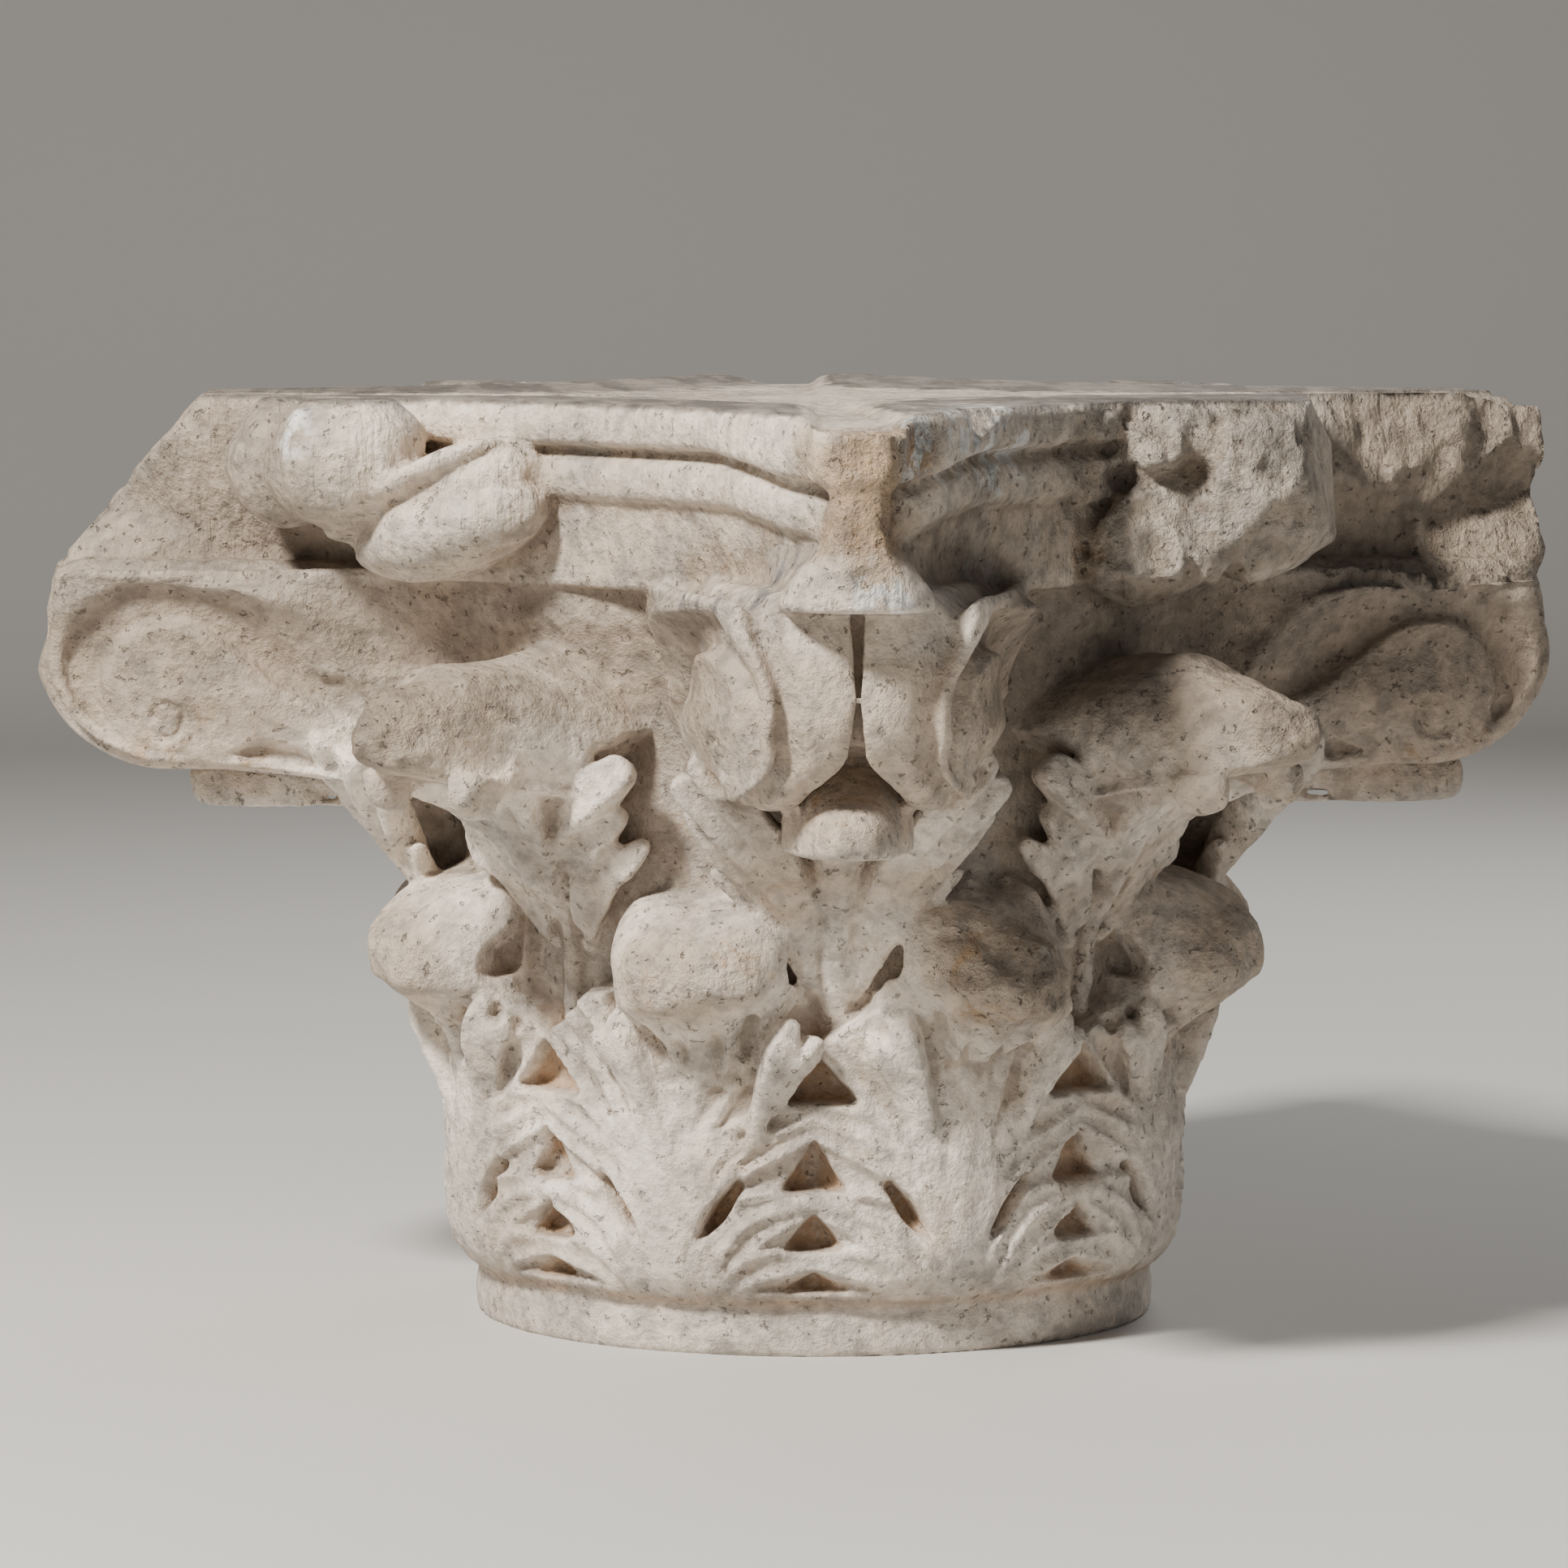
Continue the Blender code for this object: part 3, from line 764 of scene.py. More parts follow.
@dataclass(frozen=True)
class Scroll:
    """One scroll under a horn, drawn beside the corner's diagonal and swung towards the bell."""

    corner: float
    side: int
    tip: float = 0.510
    outline: Course = (
        (0.367, 0.510), (0.120, 0.511), (0.024, 0.509), (0.009, 0.492), (0.001, 0.460), (0.002, 0.430),
        (0.018, 0.402), (0.042, 0.384), (0.075, 0.372), (0.125, 0.370), (0.182, 0.366), (0.242, 0.358),
        (0.293, 0.350), (0.367, 0.345),
    )
    centre: Pair = (0.090, 0.4275)
    rim: Course = (
        (0.000, 0.0045), (0.003, 0.0018), (0.010, 0.0004), (0.022, 0.000), (0.032, 0.0020), (0.037, 0.0085),
        (0.041, 0.0150), (0.046, 0.0135), (0.0505, 0.0065), (0.0540, 0.0050), (0.0565, 0.0085),
        (0.0575, 0.014),
    )
    comma: Stroke = Stroke(
        ((88, 424), (98, 424), (120, 418), (157, 411), (206, 391), (250, 364)),
        (44.0, 42.0, 34.0, 19.0, 14.0, 12.0),
    )
    stem: Stroke = Stroke(((70, 501), (120, 497), (174, 483), (205, 452), (232, 420), (262, 388)),
                          (9.0, 10.0, 10.0, 9.0, 8.0, 8.0))
    eye: Stroke = Stroke(
        ((70, 400), (78, 394), (90, 394), (97, 404), (94, 414), (84, 417), (77, 411), (80, 404)),
        (2.5, 3.0, 3.5, 3.5, 3.0, 3.0, 2.5, 2.0),
    )
    columns: int = 260
    cap_rows: int = 110

    def relief(self, back: Array, up: Array) -> Array:
        """How far the outer face stands out: a coil of a channelled band round an eye, and its stem.

        Args:
            back: Distance back from the tip, in metres.
            up: Height, in metres.

        Returns:
            Metres along the face's outward direction.
        """
        across, height = back * 1000, up * 1000
        share, width = self.comma.share(across, height)
        gap = (share - 1) * width
        face = 9.0 * np.sqrt(np.clip(1 - share**2, 0, 1)) + 3.5 * np.exp(-((gap / 3.0) ** 2))
        face = face - 9.5 * rise(gap, 0.0, 6.0) * (1 - rise(gap, 22, 40))
        eye, _ = self.eye.share(across, height)
        face = face - 6.0 * (1 - rise(eye, 0.3, 1.0)) + 3.0 * np.exp(-(((eye - 1.5) / 0.5) ** 2))
        near_stem, width = self.stem.share(across, height)
        face = face + 9.0 * np.exp(-((near_stem * width / 8.0) ** 2)) * rise(across, 70, 110)
        return face / 1000

    def form(self) -> Form:
        """The closed scroll: an inner cap, the rim drawn in by its profile, and the carved outer face.

        Returns:
            The closed form.
        """
        outline = smooth_path([*self.outline, self.outline[0]], self.columns + 1)[:-1]
        centre = np.array(self.centre)
        spoke = outline - centre
        length = np.linalg.norm(spoke, axis=-1, keepdims=True)
        rim = smooth_path(self.rim, 24)
        inner = np.linspace(0.03, 1, 12)[:-1]
        outer = np.linspace(1, 0.02, self.cap_rows)[1:]
        first, last = rim[0], rim[-1]
        shares = np.concatenate([inner, np.ones(len(rim)), outer])
        drawn_in = np.concatenate([np.full(len(inner), first[1]), rim[:, 1], np.full(len(outer), last[1])])
        out = np.concatenate([np.full(len(inner), first[0]), rim[:, 0], np.full(len(outer), last[0])])
        flat = centre + spoke[None] * (shares[:, None, None] * (1 - drawn_in[:, None, None] / length[None]))
        stand = np.broadcast_to(out[:, None], flat.shape[:2]).copy()
        faded = rise(1 - shares, 0.0, 0.05)[:, None]
        carved = self.relief(flat[..., 0], flat[..., 1]) * faded
        stand[len(inner) + len(rim):] += carved[len(inner) + len(rim):]
        return Form.turned(self.placed(flat[..., 0], stand, flat[..., 1]))

    def placed(self, back: Array, out: Array, up: Array) -> Array:
        """Turns places in the scroll's frame into the block's.

        It flares outward under the abacus, and narrows towards its underside and towards the bell. The two
        lower ends of a corner part to show the leaf between them.

        Args:
            back: Distance back from the tip.
            out: Distance out from the scroll's inner face.
            up: Height.

        Returns:
            Points with x, y, z last.
        """
        splay = self.side * BLOCK.scroll_splay
        along = self.tip - back * cos(splay) - out * abs(sin(splay)) * 0.4
        wide = 1 + 0.32 * rise(up, 0.440, 0.498) - 0.26 * rise(-up, -0.425, -0.385)
        wide = wide - 0.40 * rise(back, 0.12, 0.30)
        parted = 0.014 * rise(-up, -0.412, -0.380) * (1 - rise(back, 0.07, 0.14))
        aside = self.side * (out * wide * cos(splay) + back * abs(sin(splay)) + parted)
        ahead, right = axes(self.corner)
        place = along[..., None] * ahead + aside[..., None] * right
        place[..., 2] = up
        return place


@dataclass(frozen=True)
class CornerCore:
    """The stone between the two scrolls of a corner: a wedge that widens into the bell."""

    corner: float
    tip: float
    setback: float = 0.022
    root_share: float = 0.8
    half_widths: Pair = (0.012, BLOCK.scroll_thickness * 2.1)
    undersides: Pair = (0.418, 0.350)
    overlap: float = 0.010

    def form(self) -> Form:
        """A loft of upright oblongs from near the tip to inside the bell.

        Returns:
            The closed form.
        """
        run = np.linspace(0, 1, 40)[:, None]
        turn = full_turn(48)
        box = np.abs(np.cos(turn)) ** 6 + np.abs(np.sin(turn)) ** 6
        x, z = np.cos(turn) / box ** (1 / 6), np.sin(turn) / box ** (1 / 6)
        inner = BLOCK.ground_radius * self.root_share
        reach = self.tip - self.setback + (inner - self.tip + self.setback) * run
        (thin, thick), (near, far) = self.half_widths, self.undersides
        half = thin + (thick - thin) * run
        low = near + (far - near) * run
        high = BLOCK.bell_top + self.overlap + 0 * run
        up = (low + high) / 2 + (high - low) / 2 * z
        ahead, right = axes(self.corner)
        place = (reach + 0 * x)[..., None] * ahead + (half * x)[..., None] * right
        place[..., 2] = up
        return Form.turned(place)


@dataclass(frozen=True)
class Lobe:
    """An uneven egg: its middle, out from a side of the abacus, across it and up, and its three radii."""

    out: float
    across: float
    up: float
    radii: Triple
    tilt: float = 0.0
    wear: Wear = Wear.SOFTENED
    facets: float = 0.0

    def form(self, angle: float, shift: float, seed: int) -> Form:
        """The closed lobe: a sphere scaled to its radii, with lumps on it and flats where it is broken.

        Args:
            angle: The angle of the side that it stands on.
            shift: How far the whole flower is moved across.
            seed: Which lumps.

        Returns:
            The closed form.
        """
        rows, columns = 110, 180
        fall = np.linspace(0.01, pi - 0.01, rows)[:, None]
        turn = full_turn(columns)
        ball = (np.sin(fall) * np.cos(turn), np.sin(fall) * np.sin(turn), np.cos(fall))
        ball = np.stack(np.broadcast_arrays(*ball), -1)
        size = 1 + lumps(ball * 0.06, 0.05, 4, seed)[..., None] * self.wear.value * 22
        if self.facets:
            rough = np.random.default_rng(seed)
            for _ in range(7):
                way = rough.normal(size=3)
                way /= np.linalg.norm(way)
                size = np.minimum(size, self.facets / np.maximum(ball @ way, 0.05)[..., None])
        local = ball * size * np.array(self.radii)
        tilt = radians(self.tilt)
        local = np.stack([
            local[..., 0] * cos(tilt) - local[..., 2] * sin(tilt), local[..., 1],
            local[..., 0] * sin(tilt) + local[..., 2] * cos(tilt),
        ], axis=-1)
        ahead, right = axes(angle)
        place = (BLOCK.side_reach + self.out + local[..., 1:2]) * ahead
        place = place + (self.across + shift + local[..., :1]) * right
        place[..., 2] = BLOCK.bell_top + self.up * BLOCK.abacus_thickness + local[..., 2]
        return Form.turned(place)


@dataclass(frozen=True)
class Rosettes:
    """The worn flowers in the middles of the sides."""

    whole: tuple[Lobe, ...] = (
        Lobe(0.044, -0.108, 0.68, (0.056, 0.048, 0.045), 14),
        Lobe(0.006, -0.046, 0.31, (0.078, 0.046, 0.031), 16),
        Lobe(0.000, -0.058, 0.42, (0.084, 0.044, 0.034), 22),
        Lobe(0.014, -0.068, 0.51, (0.082, 0.048, 0.013), 26),
        Lobe(0.040, -0.164, 0.64, (0.042, 0.038, 0.044), 8),
    )
    broken: tuple[Lobe, ...] = (
        Lobe(0.018, 0.082, 0.62, (0.088, 0.060, 0.072), 24, Wear.WORN, 0.70),
        Lobe(0.000, 0.020, 0.30, (0.078, 0.048, 0.046), 20, Wear.WORN, 0.78),
        Lobe(0.004, 0.026, 0.80, (0.060, 0.036, 0.030), 12),
    )
    off_centre: int = 3
    centring: float = 0.090

    def forms(self) -> list[Form]:
        """The lobes of every side.

        Returns:
            The closed forms.
        """
        made = []
        for k, angle in enumerate(BLOCK.side_angles):
            lobes = self.broken if k == BLOCK.broken_rosette else self.whole
            shift = 0.0 if k in (self.off_centre, BLOCK.broken_rosette) else self.centring
            made += [lobe.form(angle, shift, 60 + 7 * k + n) for n, lobe in enumerate(lobes)]
        return made


@dataclass(frozen=True)
class Fracture:
    """A broken face: a rough slab whose near face cuts the block, at a point, facing along a direction."""

    point: Triple
    facing: Triple
    width: float
    height: float
    roughness: float
    seed: int
    depth: float = 0.30

    def form(self) -> Form:
        """The closed slab that is taken out of the block.

        Returns:
            The closed form, whose near face is a grid raised by lumps and slanting ridges.
        """
        facing = np.array(self.facing) / np.linalg.norm(self.facing)
        side = np.cross(facing, (0.0, 0.0, 1.0))
        side /= np.linalg.norm(side)
        other = np.cross(facing, side)
        count = 130
        u = np.linspace(-self.width, self.width, count)[:, None, None]
        v = np.linspace(-self.height, self.height, count)[None, :, None]
        near = np.array(self.point) + u * side + v * other
        slant = near * np.array([1.0, 1.0, 0.45])
        ridges = np.abs(lumps(slant + 3.1, 0.028, 3, self.seed + 1))
        bumps = lumps(slant, 0.050, 4, self.seed) * 0.6 + ridges * 0.5
        near = near + (bumps * self.roughness)[..., None] * facing
        far = np.array(self.point) + u * side + v * other + self.depth * facing
        index = np.arange(count * count).reshape(count, count)
        back, ring = rim_of(far), rim_of(index)
        behind = count * count + np.arange(len(back))
        wall = np.stack([np.roll(ring, -1), ring, behind, np.roll(behind, -1)], axis=-1)
        points = np.vstack([near.reshape(-1, 3), back, back.mean(0)[None]])
        return Form(points, np.vstack([quads_of(index), wall, fan(behind, len(points) - 1)]))


@dataclass(frozen=True)
class CarvedBlock:
    """The whole capital: its forms fused into one skin, broken, weathered and thinned."""

    name: str = "capital_stone"
    voxel: float = 0.0027
    triangles: int = 192000
    scroll_tips: Series = (0.488, 0.500, 0.500, 0.524)
    fractures: tuple[Fracture, ...] = (
        Fracture((-0.405, 0.0, 0.620), (-0.76, 0.0, 0.65), 0.24, 0.24, 0.010, 11),
        Fracture((0.482, 0.0, 0.560), (0.978, 0.208, 0.02), 0.20, 0.20, 0.012, 23),
        Fracture((-0.518, 0.0, 0.440), (-0.985, -0.04, 0.16), 0.20, 0.085, 0.010, 43),
        Fracture((0.405, -0.050, 0.600), (0.376, -0.880, 0.30), 0.105, 0.115, 0.013, 31),
        Fracture((0.130, -0.338, 0.606), (0.50, -0.50, 0.71), 0.085, 0.030, 0.007, 37, 0.05),
    )

    def forms(self) -> list[Form]:
        """Every form that makes up the unbroken block.

        Returns:
            The closed forms.
        """
        made = [Bell().form(), Abacus().form(), *Foliage().forms(), *Rosettes().forms()]
        for corner, tip in zip(BLOCK.corner_angles, self.scroll_tips):
            pair = [Scroll(corner, side, tip).form() for side in (-1, 1)]
            made += [CornerCore(corner, tip).form(), *pair]
        return made

    def build(self) -> bpy.types.Object:
        """Fuses the forms with a voxel remesh, cuts the fractures, weathers the skin and thins it.

        Returns:
            The finished stone, with its masks as attributes.
        """
        stone = bpy.data.objects.new(self.name, mesh_of(self.forms(), self.name))
        bpy.context.scene.collection.objects.link(stone)
        skin = stone.modifiers.new("one_skin", "REMESH")
        skin.mode = "VOXEL"
        skin.voxel_size = self.voxel
        self.apply(stone)
        LOG.info("%s: fused to %d faces", self.name, len(stone.data.polygons))
        for k, fracture in enumerate(self.fractures):
            slab = bpy.data.objects.new(f"fracture_{k}", mesh_of([fracture.form()], f"fracture_{k}"))
            bpy.context.scene.collection.objects.link(slab)
            cut = stone.modifiers.new(slab.name, "BOOLEAN")
            cut.operation, cut.object, cut.solver = "DIFFERENCE", slab, "MANIFOLD"
            self.apply(stone)
            bpy.data.objects.remove(slab)
        self.weather(stone)
        thinner = stone.modifiers.new("thinner", "DECIMATE")
        stone.data.calc_loop_triangles()
        thinner.ratio = min(1.0, self.triangles / len(stone.data.loop_triangles))
        self.apply(stone)
        Masks().write(stone)
        stone.data.shade_smooth()
        LOG.info("%s: %d triangles", self.name, len(stone.data.polygons))
        return stone

    @staticmethod
    def apply(stone: bpy.types.Object) -> None:
        """Puts the result of the object's modifiers in its mesh and clears them."""
        bpy.context.view_layer.update()
        graph = bpy.context.evaluated_depsgraph_get()
        result = bpy.data.meshes.new_from_object(stone.evaluated_get(graph))
        old = stone.data
        stone.modifiers.clear()
        stone.data = result
        bpy.data.meshes.remove(old)

    @staticmethod
    def weather(stone: bpy.types.Object) -> None:
        """Moves the skin's points inward along their normals, for rough tips and chipped edges.

        The move is -a(place) |noise|, with a from the masks of worn places. The level beds stay flat.

        Args:
            stone: The fused block.
        """
        mesh = stone.data
        place, normal = point_values(mesh, "co"), point_values(mesh, "normal")
        masks = Masks()
        skin_depth, rough_depth, chip_depth, bed_skin = 0.0009, 0.0075, 0.010, 0.0015
        lost = skin_depth * np.abs(lumps(place, 0.030, 3, 5))
        lost = lost + masks.rough(place) * rough_depth * np.abs(lumps(place, 0.026, 4, 6))
        chips = rise(lumps(place, 0.055, 2, 8), 0.15, 0.8) * masks.top_edge(place)
        lost = lost + chip_depth * chips * np.abs(lumps(place, 0.03, 3, 9))
        moved = place - normal * lost[:, None]
        flat = (place[:, 2] < bed_skin) | (place[:, 2] > BLOCK.height - bed_skin)
        moved[flat, 2] = place[flat, 2]
        moved[:, 2] = np.clip(moved[:, 2], 0.0, BLOCK.height)
        mesh.vertices.foreach_set("co", moved.astype(np.float32).ravel())
        mesh.update()


@dataclass(frozen=True)
class Patch:
    """A round patch where a look changes: its middle, its radius and its soft edge, in metres."""

    middle: Triple
    radius: float
    edge: float = 0.03

    def share(self, place: Array) -> Array:
        """1 inside the patch and 0 outside it, with a ragged edge from lumps."""
        gap = np.linalg.norm(place - np.array(self.middle), axis=-1)
        gap = gap + 0.35 * self.edge * lumps(place, 0.03, 3, 31)
        return 1 - rise(gap, self.radius - self.edge, self.radius)


@dataclass(frozen=True)
class Masks:
    """What changes over the stone, worked out for each point and kept as attributes."""

    nose: Patch = Patch((0.02, -0.505, 0.575), 0.075, 0.04)
    white_scar: tuple[Patch, ...] = (
        Patch((0.045, -0.480, 0.602), 0.045, 0.03), Patch((0.070, -0.420, 0.602), 0.050, 0.03),
        Patch((0.110, -0.350, 0.600), 0.055, 0.03), Patch((-0.350, -0.205, 0.606), 0.030, 0.02),
        Patch((0.020, -0.515, 0.515), 0.030, 0.02),
    )
    smears: tuple[Patch, ...] = (
        Patch((-0.060, -0.430, 0.522), 0.045, 0.03), Patch((-0.105, -0.380, 0.520), 0.050, 0.03),
        Patch((-0.150, -0.335, 0.525), 0.045, 0.03), Patch((0.070, -0.430, 0.520), 0.035, 0.02),
    )
    snapped: Patch = Patch((0.475, 0.0, 0.57), 0.13, 0.03)
    broken_flower: Patch = Patch((0.225, -0.225, 0.560), 0.105, 0.03)

    def rough(self, place: Array) -> Array:
        """Where the stone is rough: leaf tips, the nose, the snapped horn and the broken flower."""
        radius = np.hypot(place[:, 0], place[:, 1])
        angle = np.arctan2(place[:, 0], -place[:, 1])
        pitch = 2 * pi / BLOCK.leaves_in_row
        lower = rise(radius, 0.285, 0.305) * band(place[:, 2], 0.19, 0.21, 0.30, 0.33)
        upper = rise(radius, 0.37, 0.42) * band(place[:, 2], 0.35, 0.37, 0.46, 0.48)
        side = np.abs((angle / (pi / 2)) % 1 - 0.5) < 0.30
        leaf = np.floor((angle - BLOCK.lower_row_turn) / pitch) % BLOCK.leaves_in_row
        share = np.where(leaf == 0, 0.9, 0.45) * lower + 0.80 * upper * side
        for patch, much in ((self.nose, 0.7), (self.snapped, 0.4), (self.broken_flower, 0.9)):
            share = np.maximum(share, much * patch.share(place))
        return np.clip(share, 0, 1)

    def top_edge(self, place: Array) -> Array:
        """The upper rim of the abacus, where chips have gone."""
        points, _, _ = Abacus().outline()
        gap = np.full(len(place), 1.0)
        near = place[:, 2] > 0.585
        gap[near] = np.hypot(*(place[near, None, :2] - points[None, ::4]).transpose(2, 0, 1)).min(axis=1)
        return (1 - rise(gap, 0.004, 0.014)) * rise(place[:, 2], 0.59, 0.612)

    def write(self, stone: bpy.types.Object) -> None:
        """Works out every mask for the finished mesh.

        hollow and crest come from how far a point lies under or over the mean of its neighbourhood along its
        normal. The others come from its place.

        Args:
            stone: The finished block.
        """
        mesh = stone.data
        count = len(mesh.vertices)
        place, normal = point_values(mesh, "co"), point_values(mesh, "normal")
        edges = np.empty(len(mesh.edges) * 2, np.int32)
        mesh.edges.foreach_get("vertices", edges)
        a, b = edges.reshape(-1, 2).T
        degree = np.maximum(np.bincount(a, minlength=count) + np.bincount(b, minlength=count), 1)
        smooth = place.copy()
        levels = []
        for step in range(40):
            sums = [
                np.bincount(a, smooth[b, k], count) + np.bincount(b, smooth[a, k], count) for k in range(3)
            ]
            smooth = np.stack(sums, axis=-1) / degree[:, None]
            if step in (3, 39):
                levels.append(np.einsum("ij,ij->i", smooth - place, normal))
        fine, wide = levels
        radius = np.hypot(place[:, 0], place[:, 1])
        height = place[:, 2]
        masks = {
            "hollow": np.clip(rise(wide, 0.0015, 0.010) + rise(fine, 0.0004, 0.0016) * 0.5, 0, 1),
            "crest": rise(-fine, 0.0003, 0.0016) * 0.7 + rise(-wide, 0.002, 0.010) * 0.3,
            "hole_floor": band(height, 0.028, 0.036, 0.205, 0.23) * (1 - rise(radius, 0.232, 0.243)),
            "rough": self.rough(place),
            "nose": self.nose.share(place),
            "white_scar": np.max([patch.share(place) for patch in self.white_scar], axis=0),
            "smear": np.max([patch.share(place) for patch in self.smears], axis=0),
            # upper: where painted shade falls, on the bell wall and scroll sides under the abacus but not on
            # the front panels, and on the abacus towards its side horns
            "upper": np.clip(
                band(height, 0.385, 0.430, 0.495, 0.505) * (1 - 0.7 * rise(-place[:, 1], 0.38, 0.44))
                + rise(height, 0.495, 0.505) * rise(np.abs(place[:, 0]), 0.29, 0.36), 0, 1,
            ),
            "abacus": rise(height, 0.497, 0.503),
            "tips": np.clip(
                rise(radius, 0.270, 0.300) * band(height, 0.19, 0.21, 0.31, 0.34)
                + rise(radius, 0.33, 0.38) * band(height, 0.34, 0.36, 0.465, 0.485), 0, 1,
            ),
            "bed": (height > BLOCK.height - 0.002).astype(float),
        }
        for name, values in masks.items():
            layer = mesh.attributes.new(name, "FLOAT", "POINT")
            layer.data.foreach_set("value", values.astype(np.float32))


class Flow:
    """A shader socket or a number, on which Python's operators add Math nodes."""

    def __init__(self, nodes: "Nodes", socket: Any) -> None:
        """Keeps the node builder and the socket."""
        self.nodes = nodes
        self.socket = socket

    def joined(self, operation: str, *others: Any) -> "Flow":
        """One Math node on this value and the others."""
        values = {k: value for k, value in enumerate((self, *others))}
        return self.nodes.add("ShaderNodeMath", {"operation": operation}, values)

    def __add__(self, other: Any) -> "Flow":
        return self.joined("ADD", other)

    def __mul__(self, other: Any) -> "Flow":
        return self.joined("MULTIPLY", other)

    __radd__, __rmul__ = __add__, __mul__

    def __sub__(self, other: Any) -> "Flow":
        return self.joined("SUBTRACT", other)

    def __rsub__(self, other: Any) -> "Flow":
        return self.nodes.number(other).joined("SUBTRACT", self)

    def step(self, start: float, end: float) -> "Flow":
        """A smooth rise from 0 at start to 1 at end."""
        values = {"Value": self, "From Min": start, "From Max": end}
        return self.nodes.add("ShaderNodeMapRange", {"interpolation_type": "SMOOTHSTEP"}, values)


class Nodes:
    """Adds nodes to one material's tree."""

    def __init__(self, tree: bpy.types.NodeTree) -> None:
        """Keeps the tree."""
        self.tree = tree

    def add(self, kind: str, settings: dict[str, Any], values: dict[Any, Any], output: Any = 0) -> Flow:
        """A node of a type, with its settings set first and then its sockets.

        Args:
            kind: The node's type.
            settings: Properties of the node.
            values: Numbers, colours or other sockets, by input name or number.
            output: The output to give back, by name or number.

        Returns:
            The output socket.
        """
        node = self.tree.nodes.new(kind)
        for name, value in settings.items():
            setattr(node, name, value)
        for name, value in values.items():
            if isinstance(value, Flow):
                self.tree.links.new(value.socket, node.inputs[name])
            else:
                node.inputs[name].default_value = value
        return Flow(self, node.outputs[output])

    def number(self, value: float) -> Flow:
        """A plain number as a socket."""
        return self.add("ShaderNodeMath", {"operation": "ADD"}, {0: value, 1: 0.0})

    def mask(self, name: str) -> Flow:
        """One of the mesh's attributes."""
        return self.add("ShaderNodeAttribute", {"attribute_name": name}, {}, "Fac")

    def place(self, scale: Sequence[float] = (1, 1, 1), turn: Sequence[float] = (0, 0, 0)) -> Flow:
        """Object coordinates, stretched and turned."""
        here = self.add("ShaderNodeTexCoord", {}, {}, "Object")
        return self.add("ShaderNodeMapping", {}, {"Vector": here, "Scale": scale, "Rotation": turn})

    def noise(
        self, size: float, detail: float = 4.0, roughness: float = 0.55, scale: Sequence[float] = (1, 1, 1),
        turn: Sequence[float] = (0, 0, 0), warp: float = 0.0,
    ) -> Flow:
        """Noise whose largest features are size metres wide."""
        values = {"Vector": self.place(scale, turn), "Scale": 1 / size, "Detail": detail}
        values |= {"Roughness": roughness, "Distortion": warp}
        return self.add("ShaderNodeTexNoise", {}, values, "Fac")

    def mix(self, share: Any, first: Any, second: Any, blend: str = "MIX") -> Flow:
        """Two colours mixed by a share."""
        settings = {"data_type": "RGBA", "blend_type": blend, "clamp_factor": True}
        colours = [value if isinstance(value, Flow) else (*value, 1.0) for value in (first, second)]
        return self.add("ShaderNodeMix", settings, {0: share, 6: colours[0], 7: colours[1]}, 2)


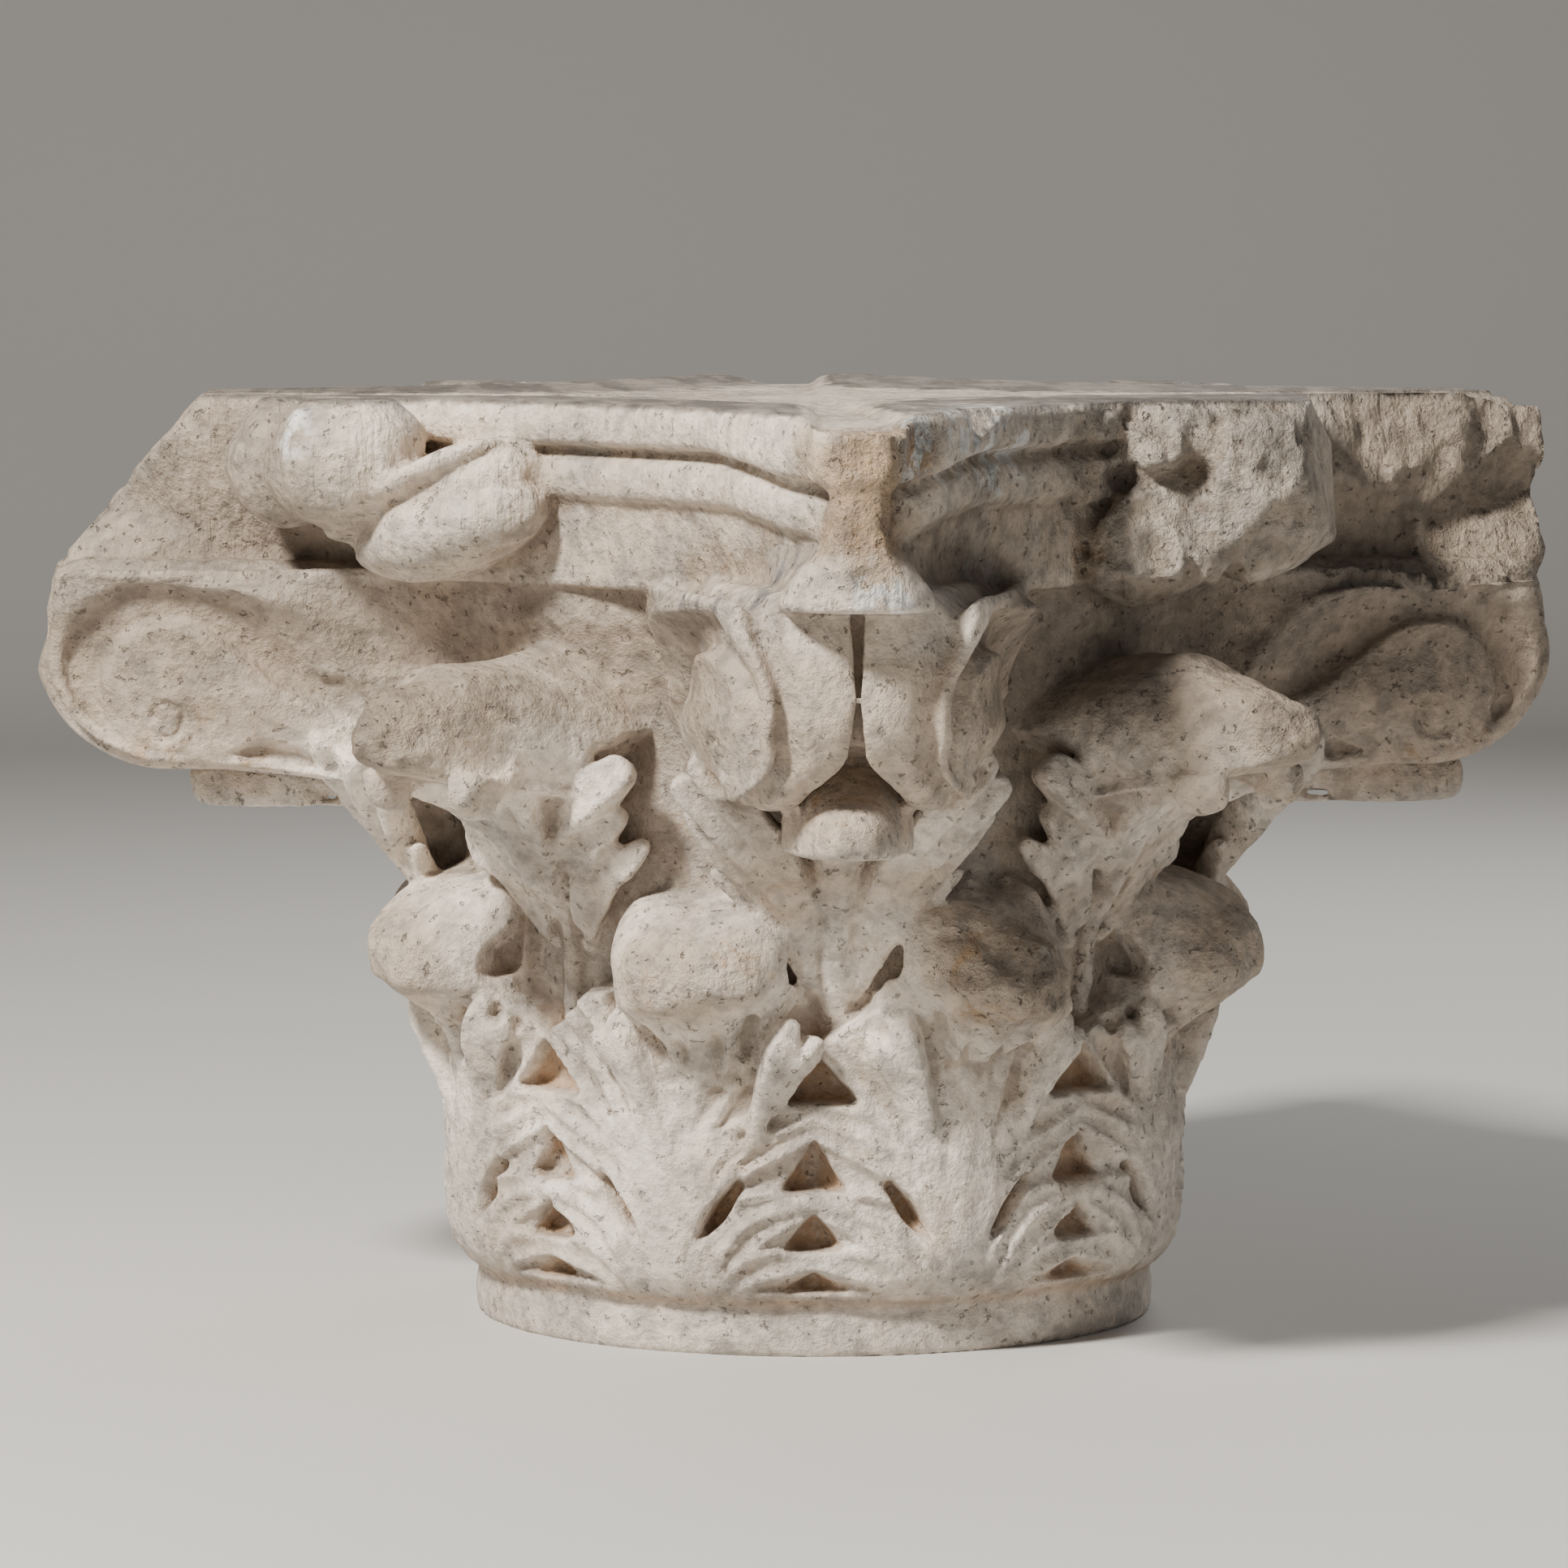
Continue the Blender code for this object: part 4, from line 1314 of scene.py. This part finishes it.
@dataclass(frozen=True)
class Stone:
    """Weathered marble: pale grey leaves, a beige abacus, and ochre where soil has stained it, with grime and
    painted shade in the hollows and painted shade under the abacus.
    """

    leaf_grey: Triple = (0.590, 0.505, 0.425)
    leaf_white: Triple = (0.88, 0.790, 0.690)
    cool_vein: Triple = (0.30, 0.305, 0.310)
    warm_beige: Triple = (0.53, 0.430, 0.330)
    tip_beige: Triple = (0.56, 0.445, 0.340)
    # painted shade: the dark brown laid on the bell wall and scroll sides under the abacus
    painted_shade_brown: Triple = (0.320, 0.255, 0.195)
    smear: Triple = (0.150, 0.155, 0.170)
    ochre: Triple = (0.46, 0.275, 0.120)
    hole_tan: Triple = (0.40, 0.250, 0.140)
    # grime and painted shade in the hollows
    hollow_grime_and_shade: Triple = (0.235, 0.175, 0.125)
    soil: Triple = (0.085, 0.060, 0.042)
    scar: Triple = (0.84, 0.83, 0.80)
    bed_grey: Triple = (0.20, 0.170, 0.140)
    bump_depth: float = 0.0075

    def material(self) -> bpy.types.Material:
        """The finished material.

        Returns:
            A Principled surface whose colour, roughness and bump come from masks and noise.
        """
        made = bpy.data.materials.new("weathered_marble")
        made.use_nodes = True
        shader = made.node_tree.nodes["Principled BSDF"]
        nodes = Nodes(made.node_tree)
        hollow, crest, rough = nodes.mask("hollow"), nodes.mask("crest"), nodes.mask("rough")
        abacus, tips = nodes.mask("abacus"), nodes.mask("tips")
        cloud = nodes.noise(0.16, 5.0, 0.6, warp=0.4)
        grain = nodes.noise(0.011, 6.0, 0.62)
        speck = nodes.noise(0.0042, 3.0, 0.5)
        tool = nodes.noise(0.012, 3.0, 0.6, scale=(1.0, 1.0, 0.10), warp=0.3)
        vein = nodes.noise(0.07, 4.0, 0.55, scale=(1.0, 1.0, 0.45), turn=(0.3, 0.4, 0.0), warp=1.2)

        colour = nodes.mix(cloud.step(0.38, 0.66), self.leaf_grey, self.leaf_white)
        colour = nodes.mix(vein.step(0.56, 0.74) * 0.45, colour, self.cool_vein)
        colour = nodes.mix(abacus * (0.35 + 0.4 * cloud), colour, self.warm_beige)
        colour = nodes.mix(tips * (0.35 + 0.65 * grain), colour, self.tip_beige)
        colour = nodes.mix(tool.step(0.52, 0.72) * abacus * 0.30, colour, self.cool_vein)
        colour = nodes.mix(grain.step(0.56, 0.74) * 0.30, colour, self.warm_beige)
        stain = nodes.noise(0.045, 5.0, 0.65, warp=0.8).step(0.57, 0.70)
        colour = nodes.mix(stain * (0.26 + 0.40 * tips + 0.34 * hollow), colour, self.ochre)
        colour = nodes.mix(speck.step(0.64, 0.74) * 0.45, colour, self.ochre)
        # grime and painted shade: concave places darkened towards brown by the hollow mask
        colour = nodes.mix(hollow.step(0.35, 1.0) * (0.35 + 0.5 * grain), colour, self.hollow_grime_and_shade)
        colour = nodes.mix(nodes.mask("hole_floor") * (0.55 + 0.45 * grain), colour, self.hole_tan)
        colour = nodes.mix(crest * 0.35 * (1.0 - tips), colour, self.leaf_white)
        mottle = nodes.noise(0.048, 7.0, 0.66, warp=0.8)
        colour = nodes.mix(mottle.step(0.50, 0.66) * 0.45, colour, self.warm_beige)
        colour = nodes.mix(mottle.step(0.50, 0.36) * 0.50, colour, self.leaf_white)
        # painted shade: the upper mask darkens the bell wall and scroll sides under the abacus, not the front
        # panels, and the abacus towards its side horns
        colour = nodes.mix(nodes.mask("upper") * (0.60 + 0.4 * cloud), colour, self.painted_shade_brown)
        colour = nodes.mix(nodes.mask("nose") * (0.30 + 0.6 * grain), colour, self.ochre)
        colour = nodes.mix(nodes.mask("bed") * 0.8, colour, self.bed_grey)
        colour = nodes.mix(nodes.mask("smear") * tool.step(0.48, 0.62) * 0.75, colour, self.smear)
        scar = nodes.mask("white_scar") * nodes.noise(0.02, 4.0, 0.6).step(0.46, 0.56)
        colour = nodes.mix(scar, colour, self.scar)
        value = 0.42 + 0.28 * grain.step(0.36, 0.62) + 0.34 * mottle.step(0.38, 0.60)
        value = value + 0.22 * cloud.step(0.35, 0.65)
        streak = nodes.noise(0.030, 6.0, 0.65, scale=(1.0, 0.16, 1.0), turn=(0.0, 0.0, 0.7), warp=0.3)
        value = value * (1.0 - nodes.mask("bed") * streak.step(0.42, 0.58) * 0.45)
        grey = nodes.add("ShaderNodeCombineColor", {}, {"Red": value, "Green": value, "Blue": value}, "Color")
        colour = nodes.mix(1.0, colour, grey, "MULTIPLY")
        pit = nodes.noise(0.0065, 4.0, 0.6).step(0.62, 0.70)
        colour = nodes.mix(pit * (0.10 + 0.50 * rough), colour, self.soil)
        nodes.tree.links.new(colour.socket, shader.inputs["Base Color"])

        finish = 0.62 + 0.16 * grain + 0.12 * rough - 0.10 * crest
        nodes.tree.links.new(finish.socket, shader.inputs["Roughness"])
        coarse = nodes.noise(0.014, 6.0, 0.68)
        relief = grain * 0.6 + coarse * (0.5 + 2.0 * rough) + tool * abacus * 0.8
        relief = relief - pit * (0.4 + 1.2 * rough)
        values = {"Height": relief, "Strength": 1.0, "Distance": self.bump_depth}
        bump = nodes.add("ShaderNodeBump", {}, values, "Normal")
        nodes.tree.links.new(bump.socket, shader.inputs["Normal"])
        shader.inputs["Metallic"].default_value = 0.0
        shader.inputs["IOR"].default_value = 1.5
        return made


@dataclass(frozen=True)
class Stage:
    """The floor, the lights and the camera."""

    distance: float = 4.95
    eye_height: float = 0.765
    turn: float = radians(3.2)
    pitch: float = radians(4.74)
    aside: float = 37 / 9000
    sensor: float = 36.0
    focal: float = 36.0 * 9050 / 1932

    def floor(self) -> None:
        """A plain pale floor that curves up far behind the block."""
        columns, rows = 60, 90
        run = np.linspace(-9, 9, columns)[:, None]
        deep = np.linspace(-7, 9, rows)[None]
        height = 0.5 * np.maximum(deep - 5.0, 0) ** 2 * np.ones_like(run)
        grid = np.stack(np.broadcast_arrays(run, deep, height), axis=-1)
        quads = quads_of(np.arange(columns * rows).reshape(columns, rows))[:, [0, 3, 2, 1]]
        triangles = np.vstack([quads[:, :3], quads[:, [0, 2, 3]]])
        ground = bpy.data.objects.new("floor", triangle_mesh(grid.reshape(-1, 3), triangles, "floor"))
        bpy.context.scene.collection.objects.link(ground)
        ground.data.shade_smooth()
        paint = bpy.data.materials.new("floor_paint")
        paint.use_nodes = True
        shader = paint.node_tree.nodes["Principled BSDF"]
        shader.inputs["Base Color"].default_value = (0.60, 0.59, 0.57, 1)
        shader.inputs["Roughness"].default_value = 0.8
        ground.data.materials.append(paint)

    def lights(self) -> None:
        """A soft key from the upper left, a weak fill from the right and a pale world."""
        for name, place, size, power, tint in (
            ("key", (-2.35, -2.45, 3.4), 0.6, 440.0, (1.0, 0.955, 0.89)),
            ("fill", (3.2, -2.6, 1.6), 2.5, 9.0, (0.94, 0.97, 1.0)),
            ("rim", (1.6, 2.8, 2.6), 1.6, 60.0, (1.0, 0.98, 0.95)),
        ):
            lamp = bpy.data.lights.new(name, "AREA")
            lamp.energy, lamp.size, lamp.color = power, size, tint
            stand = bpy.data.objects.new(name, lamp)
            bpy.context.scene.collection.objects.link(stand)
            stand.location = place
            away = Vector(place) - Vector((0, 0, 0.35))
            stand.rotation_euler = away.to_track_quat("Z", "Y").to_euler()
        world = bpy.data.worlds.new("room")
        world.use_nodes = True
        sky = world.node_tree.nodes["Background"]
        sky.inputs["Color"].default_value = (0.92, 0.94, 1.0, 1)
        sky.inputs["Strength"].default_value = 0.06
        bpy.context.scene.world = world

    def camera(self) -> None:
        """The photograph's camera: nearly level, a little to one side of the whole horn."""
        lens = bpy.data.cameras.new("camera")
        lens.sensor_width = self.sensor
        lens.lens = self.focal
        seat = bpy.data.objects.new("camera", lens)
        bpy.context.scene.collection.objects.link(seat)
        seat.location = (-self.distance * sin(self.turn), -self.distance * cos(self.turn), self.eye_height)
        yaw = self.turn - self.aside
        ahead = Vector((sin(yaw) * cos(self.pitch), cos(yaw) * cos(self.pitch), -sin(self.pitch)))
        seat.rotation_euler = ahead.to_track_quat("-Z", "Y").to_euler()
        bpy.context.scene.camera = seat

    def set_up(self) -> None:
        """Adds all three."""
        self.camera()
        self.floor()
        self.lights()


def main() -> None:
    """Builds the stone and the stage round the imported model."""
    logging.basicConfig(level=logging.INFO, format="%(name)s: %(message)s")
    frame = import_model()
    LOG.info("solids: %s", sorted(frame["nodes"]))
    Stage().set_up()
    stone = CarvedBlock().build()
    stone.data.materials.clear()
    stone.data.materials.append(Stone().material())
    stone.data.polygons.foreach_set("material_index", np.zeros(len(stone.data.polygons), np.int32))
    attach(stone, "root")
    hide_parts("capital")


if __name__ == "__main__":
    main()
